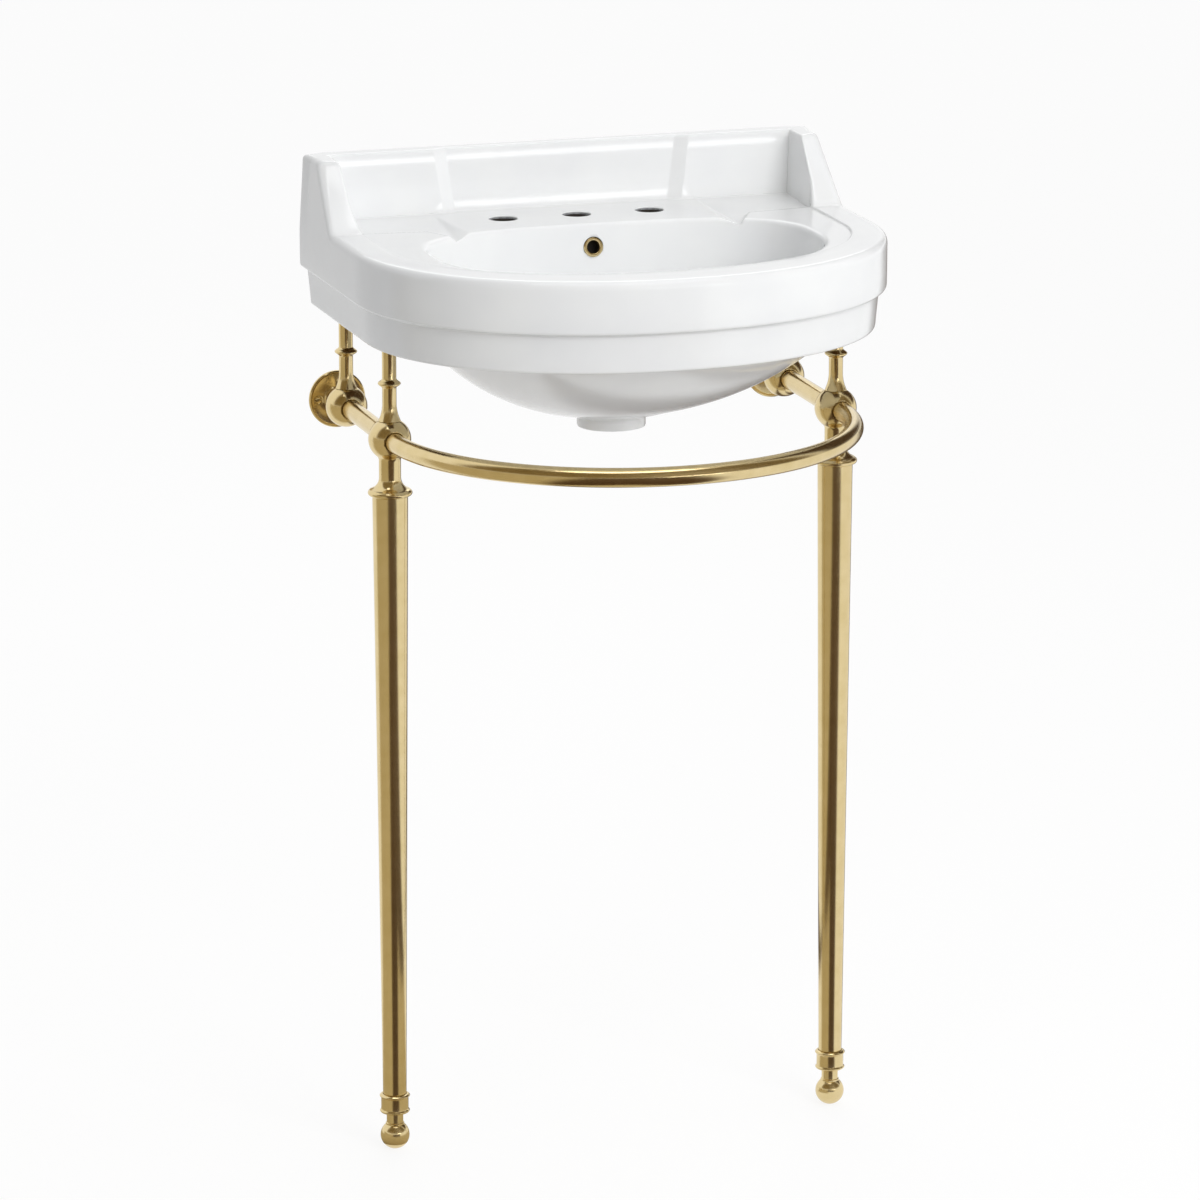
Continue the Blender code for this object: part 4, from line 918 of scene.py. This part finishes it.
def rose(name, x):
    """The dished rose on the wall, with a hub that takes the rail's end, and its two screws."""
    bore = RAIL_R + FIT
    profile = [(0, ROSE_FLOOR), (bore, ROSE_FLOOR), (bore, 0.0125), (HUB_R, 0.0125), (HUB_R, 0.0055),
               (HUB_R + 0.0015, 0.0040), (SCREW_REACH, 0.0026), (ROSE_R - 0.0030, 0.0026),
               (ROSE_R - 0.0015, 0.0040), (ROSE_R, 0.0025), (ROSE_R, 0), (0, 0)]
    place = (x, WALL_Y, RAIL_Z)
    piece = turned("rose_" + name, eased(profile), BRASS_ROSE, place, 96, axis="Y")
    head, shank, top, under = 0.0039, 0.0021, 0.0026, 0.0008
    for side, offset in (("outer", math.copysign(1, x)), ("inner", -math.copysign(1, x))):
        where = (x + offset * SCREW_REACH, WALL_Y, RAIL_Z)
        sink = [(0, 0.006), (head + FIT, 0.006), (head + FIT, top), (shank + FIT, under),
                (shank + FIT, -0.001), (0, -0.001)]
        cut(piece, turned("sink", sink, None, where, 40, axis="Y"))
        screw = turned("rose_screw_%s_%s" % (name, side),
                       eased([(0, top), (head, top), (shank, under), (shank, FIT), (0, FIT)], 0.0002),
                       BRASS_ROSE, where, 40, axis="Y")
        cut(screw, box_tool((where[0] - SLOT_HALF, SLOT_REACH, RAIL_Z - SLOT_WIDTH / 2),
                            (where[0] + SLOT_HALF, 0.010, RAIL_Z + SLOT_WIDTH / 2)))
        place_piece(screw, "sink", "gold_brass", "flange_screw_%s_%s" % (name, side))
    place_piece(piece, "sink", "gold_brass", "wall_flange_" + name)


def rail():
    """The towel rail: a ring of tube carried along two straights and a half-round bow."""
    end = ROSE_FLOOR + FIT
    straight = np.linspace(end, LEG_REACH + RAIL_STRAIGHT, 30)[:-1]
    turn = np.linspace(0, np.pi, 241)
    left = np.stack([-LEG_X + 0 * straight, straight], 1)
    bow = np.stack([-LEG_X * np.cos(turn), LEG_REACH + RAIL_STRAIGHT + RAIL_BOW * np.sin(turn)], 1)
    path = np.concatenate([left, bow, left[::-1] * (-1, 1)])
    path[:, 1] = wall_y(path[:, 1])
    along = np.gradient(path, axis=0)
    along /= np.linalg.norm(along, axis=1)[:, None]
    side = np.stack([along[:, 1], -along[:, 0]], 1)
    angle = np.linspace(0, 2 * np.pi, 56, endpoint=False)
    rows = []
    for radius, order in ((RAIL_R, 1), (RAIL_R - RAIL_WALL, -1)):
        x = path[:, 0, None] + side[:, 0, None] * radius * np.cos(angle)
        y = path[:, 1, None] + side[:, 1, None] * radius * np.cos(angle)
        z = RAIL_Z + radius * np.sin(angle) + 0 * x
        rows.append(np.stack([x, y, z], -1)[::order])
    points = np.concatenate(rows)
    faces = grid_faces(len(points), len(angle), True, True)[:, ::-1]
    piece = add_piece("bent_rail", points.reshape(-1, 3), faces, BRASS_TUBE)
    place_piece(piece, "sink", "gold_brass", "towel_rail")


def overflow_ring():
    """The brass trim ring that lines the overflow hole."""
    outer, bore, sleeve, thick = 0.0099, 0.0063, 0.0076, 0.0016
    profile = [(bore, thick / 2), (bore + 0.0006, thick), (outer - 0.0008, thick), (outer, thick / 2),
               (outer, 0), (sleeve, 0), (sleeve, -0.005), (bore, -0.005)]
    profile = eased(profile, 0.0003, closed=True)
    piece = turned("overflow_trim", profile, BRASS_TURNED, (0, 0, 0), 64, closed=True)
    face_overflow(piece, FIT)
    place_piece(piece, "sink", "gold_brass", "overflow_ring")


china = basin()
place_piece(china, "sink", "glazed_china", "basin")
overflow_rib()
rail()
overflow_ring()
for side_name, side_x in (("left", -LEG_X), ("right", LEG_X)):
    front_fitting(side_name, side_x)
    rear_fitting(side_name, side_x)
    post("front_" + side_name, side_x, LEG_REACH)
    post("rear_" + side_name, side_x, REAR_REACH)
    leg(side_name, side_x)
    ferrule(side_name, side_x)
    foot(side_name, side_x)
    rose(side_name, side_x)


# Scene

def camera():
    """The photograph's view: 17.7 degrees to the left and 14.2 degrees down, from 6.65 m."""
    azimuth, pitch, distance, focal_pixels = math.radians(17.73), math.radians(14.19), 6.65, 6728.56
    data = bpy.data.cameras.new("photo_camera")
    data.sensor_width = 36.0
    data.lens = focal_pixels * data.sensor_width / PHOTO_PIXELS
    data.clip_end = 50.0
    item = bpy.data.objects.new("photo_camera", data)
    level = math.cos(pitch)
    look = Vector((math.sin(azimuth) * level, math.cos(azimuth) * level, -math.sin(pitch)))
    aim = Vector((-0.0147, 0.0288, 0.5464))
    item.location = aim - look * distance
    item.rotation_euler = look.to_track_quat("-Z", "Y").to_euler()
    bpy.context.scene.collection.objects.link(item)
    bpy.context.scene.camera = item


def lamp(name, place, aim, size, power):
    """A square soft box that faces a point."""
    data = bpy.data.lights.new(name, "AREA")
    data.size = size
    data.energy = power
    item = bpy.data.objects.new(name, data)
    item.location = place
    item.rotation_euler = (Vector(aim) - Vector(place)).to_track_quat("-Z", "Y").to_euler()
    bpy.context.scene.collection.objects.link(item)


def seen_white(tree):
    """One for rays that should meet the white background: the camera's and mirrored ones."""
    path = add(tree, "ShaderNodeLightPath")
    seen = path.outputs["Is Camera Ray"]
    for kind in ("Is Glossy Ray", "Is Transmission Ray"):
        both = add(tree, "ShaderNodeMath", {"operation": "MAXIMUM"})
        tree.links.new(seen, both.inputs[0])
        tree.links.new(path.outputs[kind], both.inputs[1])
        seen = both.outputs[0]
    return seen


def card(name, points, fade, code, glow=0.0):
    """A reflector outside the picture: only mirrored rays meet it, and its edges fade out. With a glow it
    paints highlights.
    """
    settings = {"Base Color": linear(code), "Roughness": 0.8, "Emission Color": linear(code),
                "Emission Strength": glow}
    finish, tree, shader = new_material(name, settings)
    share = add(tree, "ShaderNodeAttribute", {"attribute_name": "fade"})
    clear = add(tree, "ShaderNodeBsdfTransparent")
    mix = add(tree, "ShaderNodeMixShader", None, Fac=share.outputs["Fac"])
    tree.links.new(clear.outputs[0], mix.inputs[1])
    tree.links.new(shader.outputs[0], mix.inputs[2])
    tree.links.new(mix.outputs[0], tree.nodes["Material Output"].inputs[0])
    rows, columns = points.shape[:2]
    item = add_piece(name, points.reshape(-1, 3), grid_faces(rows, columns, False, False), finish)
    layer = item.data.attributes.new("fade", "FLOAT", "POINT")
    layer.data.foreach_set("value", np.broadcast_to(fade, (rows, columns)).astype(np.float32).ravel())
    item.visible_camera = item.visible_shadow = item.visible_diffuse = False


def edge_fade(values, soft):
    """One inside a range of values, easing to zero over a soft width at both ends."""
    share = np.clip(np.minimum(values - values[0], values[-1] - values) / soft, 0, 1)
    return share * share * (3 - 2 * share)


def floor_card(name, x, turn, code, height, rise=0.25, soft=15.0, far=6.0):
    """A card that lies round a leg and turns up far out: a fan between two turns in degrees."""
    degrees = np.linspace(*turn, 37)
    angle = np.radians(degrees)
    radius = np.array([0.05, 0.6 * far, far])[:, None]
    z = np.array([height, height, rise])[:, None]
    points = np.stack([x + radius * np.cos(angle), wall_y(LEG_REACH) + radius * np.sin(angle),
                       z + 0 * angle], -1)
    card(name, points, edge_fade(degrees, soft)[None, :], code)


def dome_card(name, turn, lift, code, soft=14.0, radius=3.4, glow=0.0):
    """A part of a dome round the stand, between two turns and two heights in degrees."""
    across, up = np.linspace(*turn, 49), np.linspace(*lift, 25)
    turns, lifts = np.radians(across)[None, :], np.radians(up)[:, None]
    points = np.stack([radius * np.cos(lifts) * np.cos(turns), radius * np.cos(lifts) * np.sin(turns),
                       RAIL_Z + radius * np.sin(lifts) + 0 * turns], -1)
    card(name, points, edge_fade(across, soft)[None, :] * edge_fade(up, soft / 2)[:, None], code, glow)


def room():
    """A pale room for the china, white where the camera or a mirrored ray looks at it."""
    world = bpy.data.worlds.new("studio")
    bpy.context.scene.world = world
    world.use_nodes = True
    tree = world.node_tree
    tree.nodes.clear()
    way = add(tree, "ShaderNodeTexCoord").outputs["Generated"]
    parts = add(tree, "ShaderNodeSeparateXYZ", None, Vector=way)
    # The room is dimmer on the left, which leaves that side of the basin grey.
    across = add(tree, "ShaderNodeMapRange", {"From Min": -0.9, "From Max": 0.1}, Value=parts.outputs["X"])
    shade = ramp(tree, across.outputs[0], ((0.0, "#8E8E8E"), (1.0, "#FCFCFC")))
    # The ceiling is dimmer than the walls, so flat tops stay a tone below white.
    lift = add(tree, "ShaderNodeMapRange", {"From Min": 0.1, "From Max": 1.0, "To Min": 1.0, "To Max": 0.86},
               Value=parts.outputs["Z"])
    soft = add(tree, "ShaderNodeBackground", None, Color=shade, Strength=lift.outputs[0])
    white = add(tree, "ShaderNodeBackground", {"Color": (1, 1, 1, 1), "Strength": 1.0})
    mix = add(tree, "ShaderNodeMixShader", None, Fac=seen_white(tree))
    tree.links.new(soft.outputs[0], mix.inputs[1])
    tree.links.new(white.outputs[0], mix.inputs[2])
    out = add(tree, "ShaderNodeOutputWorld")
    tree.links.new(mix.outputs[0], out.inputs[0])


def pale_floor():
    """A white floor that keeps a quarter of its real shading, and so the stand's shadow."""
    settings = {"Base Color": linear("#D4D4D4"), "Roughness": 0.9}
    finish, tree, shader = new_material("pale_floor", settings)
    bright = add(tree, "ShaderNodeEmission", {"Color": (1, 1, 1, 1), "Strength": 1.12})
    part = add(tree, "ShaderNodeMath", {"operation": "MULTIPLY", 1: 0.75})
    tree.links.new(seen_white(tree), part.inputs[0])
    mix = add(tree, "ShaderNodeMixShader", None, Fac=part.outputs[0])
    tree.links.new(shader.outputs[0], mix.inputs[1])
    tree.links.new(bright.outputs[0], mix.inputs[2])
    tree.links.new(mix.outputs[0], tree.nodes["Material Output"].inputs[0])
    size = 25.0
    corners = [(-size, -size, 0), (size, -size, 0), (size, size, 0), (-size, size, 0)]
    floor = add_piece("studio_floor", corners, [(0, 1, 2, 3)], finish)


def cards():
    """Cards that band the gold: round each leg and over the stand, glowing strips that paint highlights, and
    dark cards under the basin that paint its shaded underside into reflections.
    """
    for name, x, layer in (("left", -LEG_X, 0.0), ("right", LEG_X, 0.004)):
        floor_card("dark_card_" + name, x, (-132, -64), DARK_CARD, 0.012 + layer, 1.3)
        floor_card("grey_card_" + name, x, (-210, -112), "#CFC2A2", 0.002 + layer, 1.3)
        floor_card("edge_card_" + name, x, (34, 68), DARK_CARD, 0.024 + layer, 0.8)
    dome_card("front_dome", (-190, 0), (4, 78), "#8E7A50")
    dome_card("side_dome", (-6, 62), (3, 62), DARK_CARD, radius=3.3)
    # Glowing strips that only mirrored rays see paint highlights on the rail, the balls and the china's
    # edges.
    dome_card("top_highlight_strip", (-160, -20), (62, 78), "#FFFFFF", 10.0, 3.2, 3.0)
    dome_card("highlight_strip_box", (-86, -58), (2.5, 6.0), "#FFFFFF", 2.0, 3.1, 4.0)
    # Dark cards just under the basin paint the shade of its underside into the gold's reflections.
    for name, low, high in (("back", (-0.248, 0.004), (0.248, 0.100)),
                            ("left", (-0.248, 0.100), (-0.205, 0.24)),
                            ("right", (0.205, 0.100), (0.248, 0.24))):
        points = [[(x, wall_y(reach), UNDERSIDE_SHADE_Z) for x in (low[0], high[0])]
                  for reach in (low[1], high[1])]
        card("underside_shade_card_" + name, np.array(points), 1.0, DARK_CARD)


def studio():
    """The room, the floor, the cards and two soft boxes."""
    room()
    pale_floor()
    cards()
    lamp("key_box", (0.9, -3.0, 2.3), (0, 0, 0.7), 1.6, 40)
    lamp("back_box", (0.8, 2.4, 2.6), (0, 0, 0.7), 1.6, 9)
    bpy.context.scene.view_settings.view_transform = "Standard"


camera()
studio()
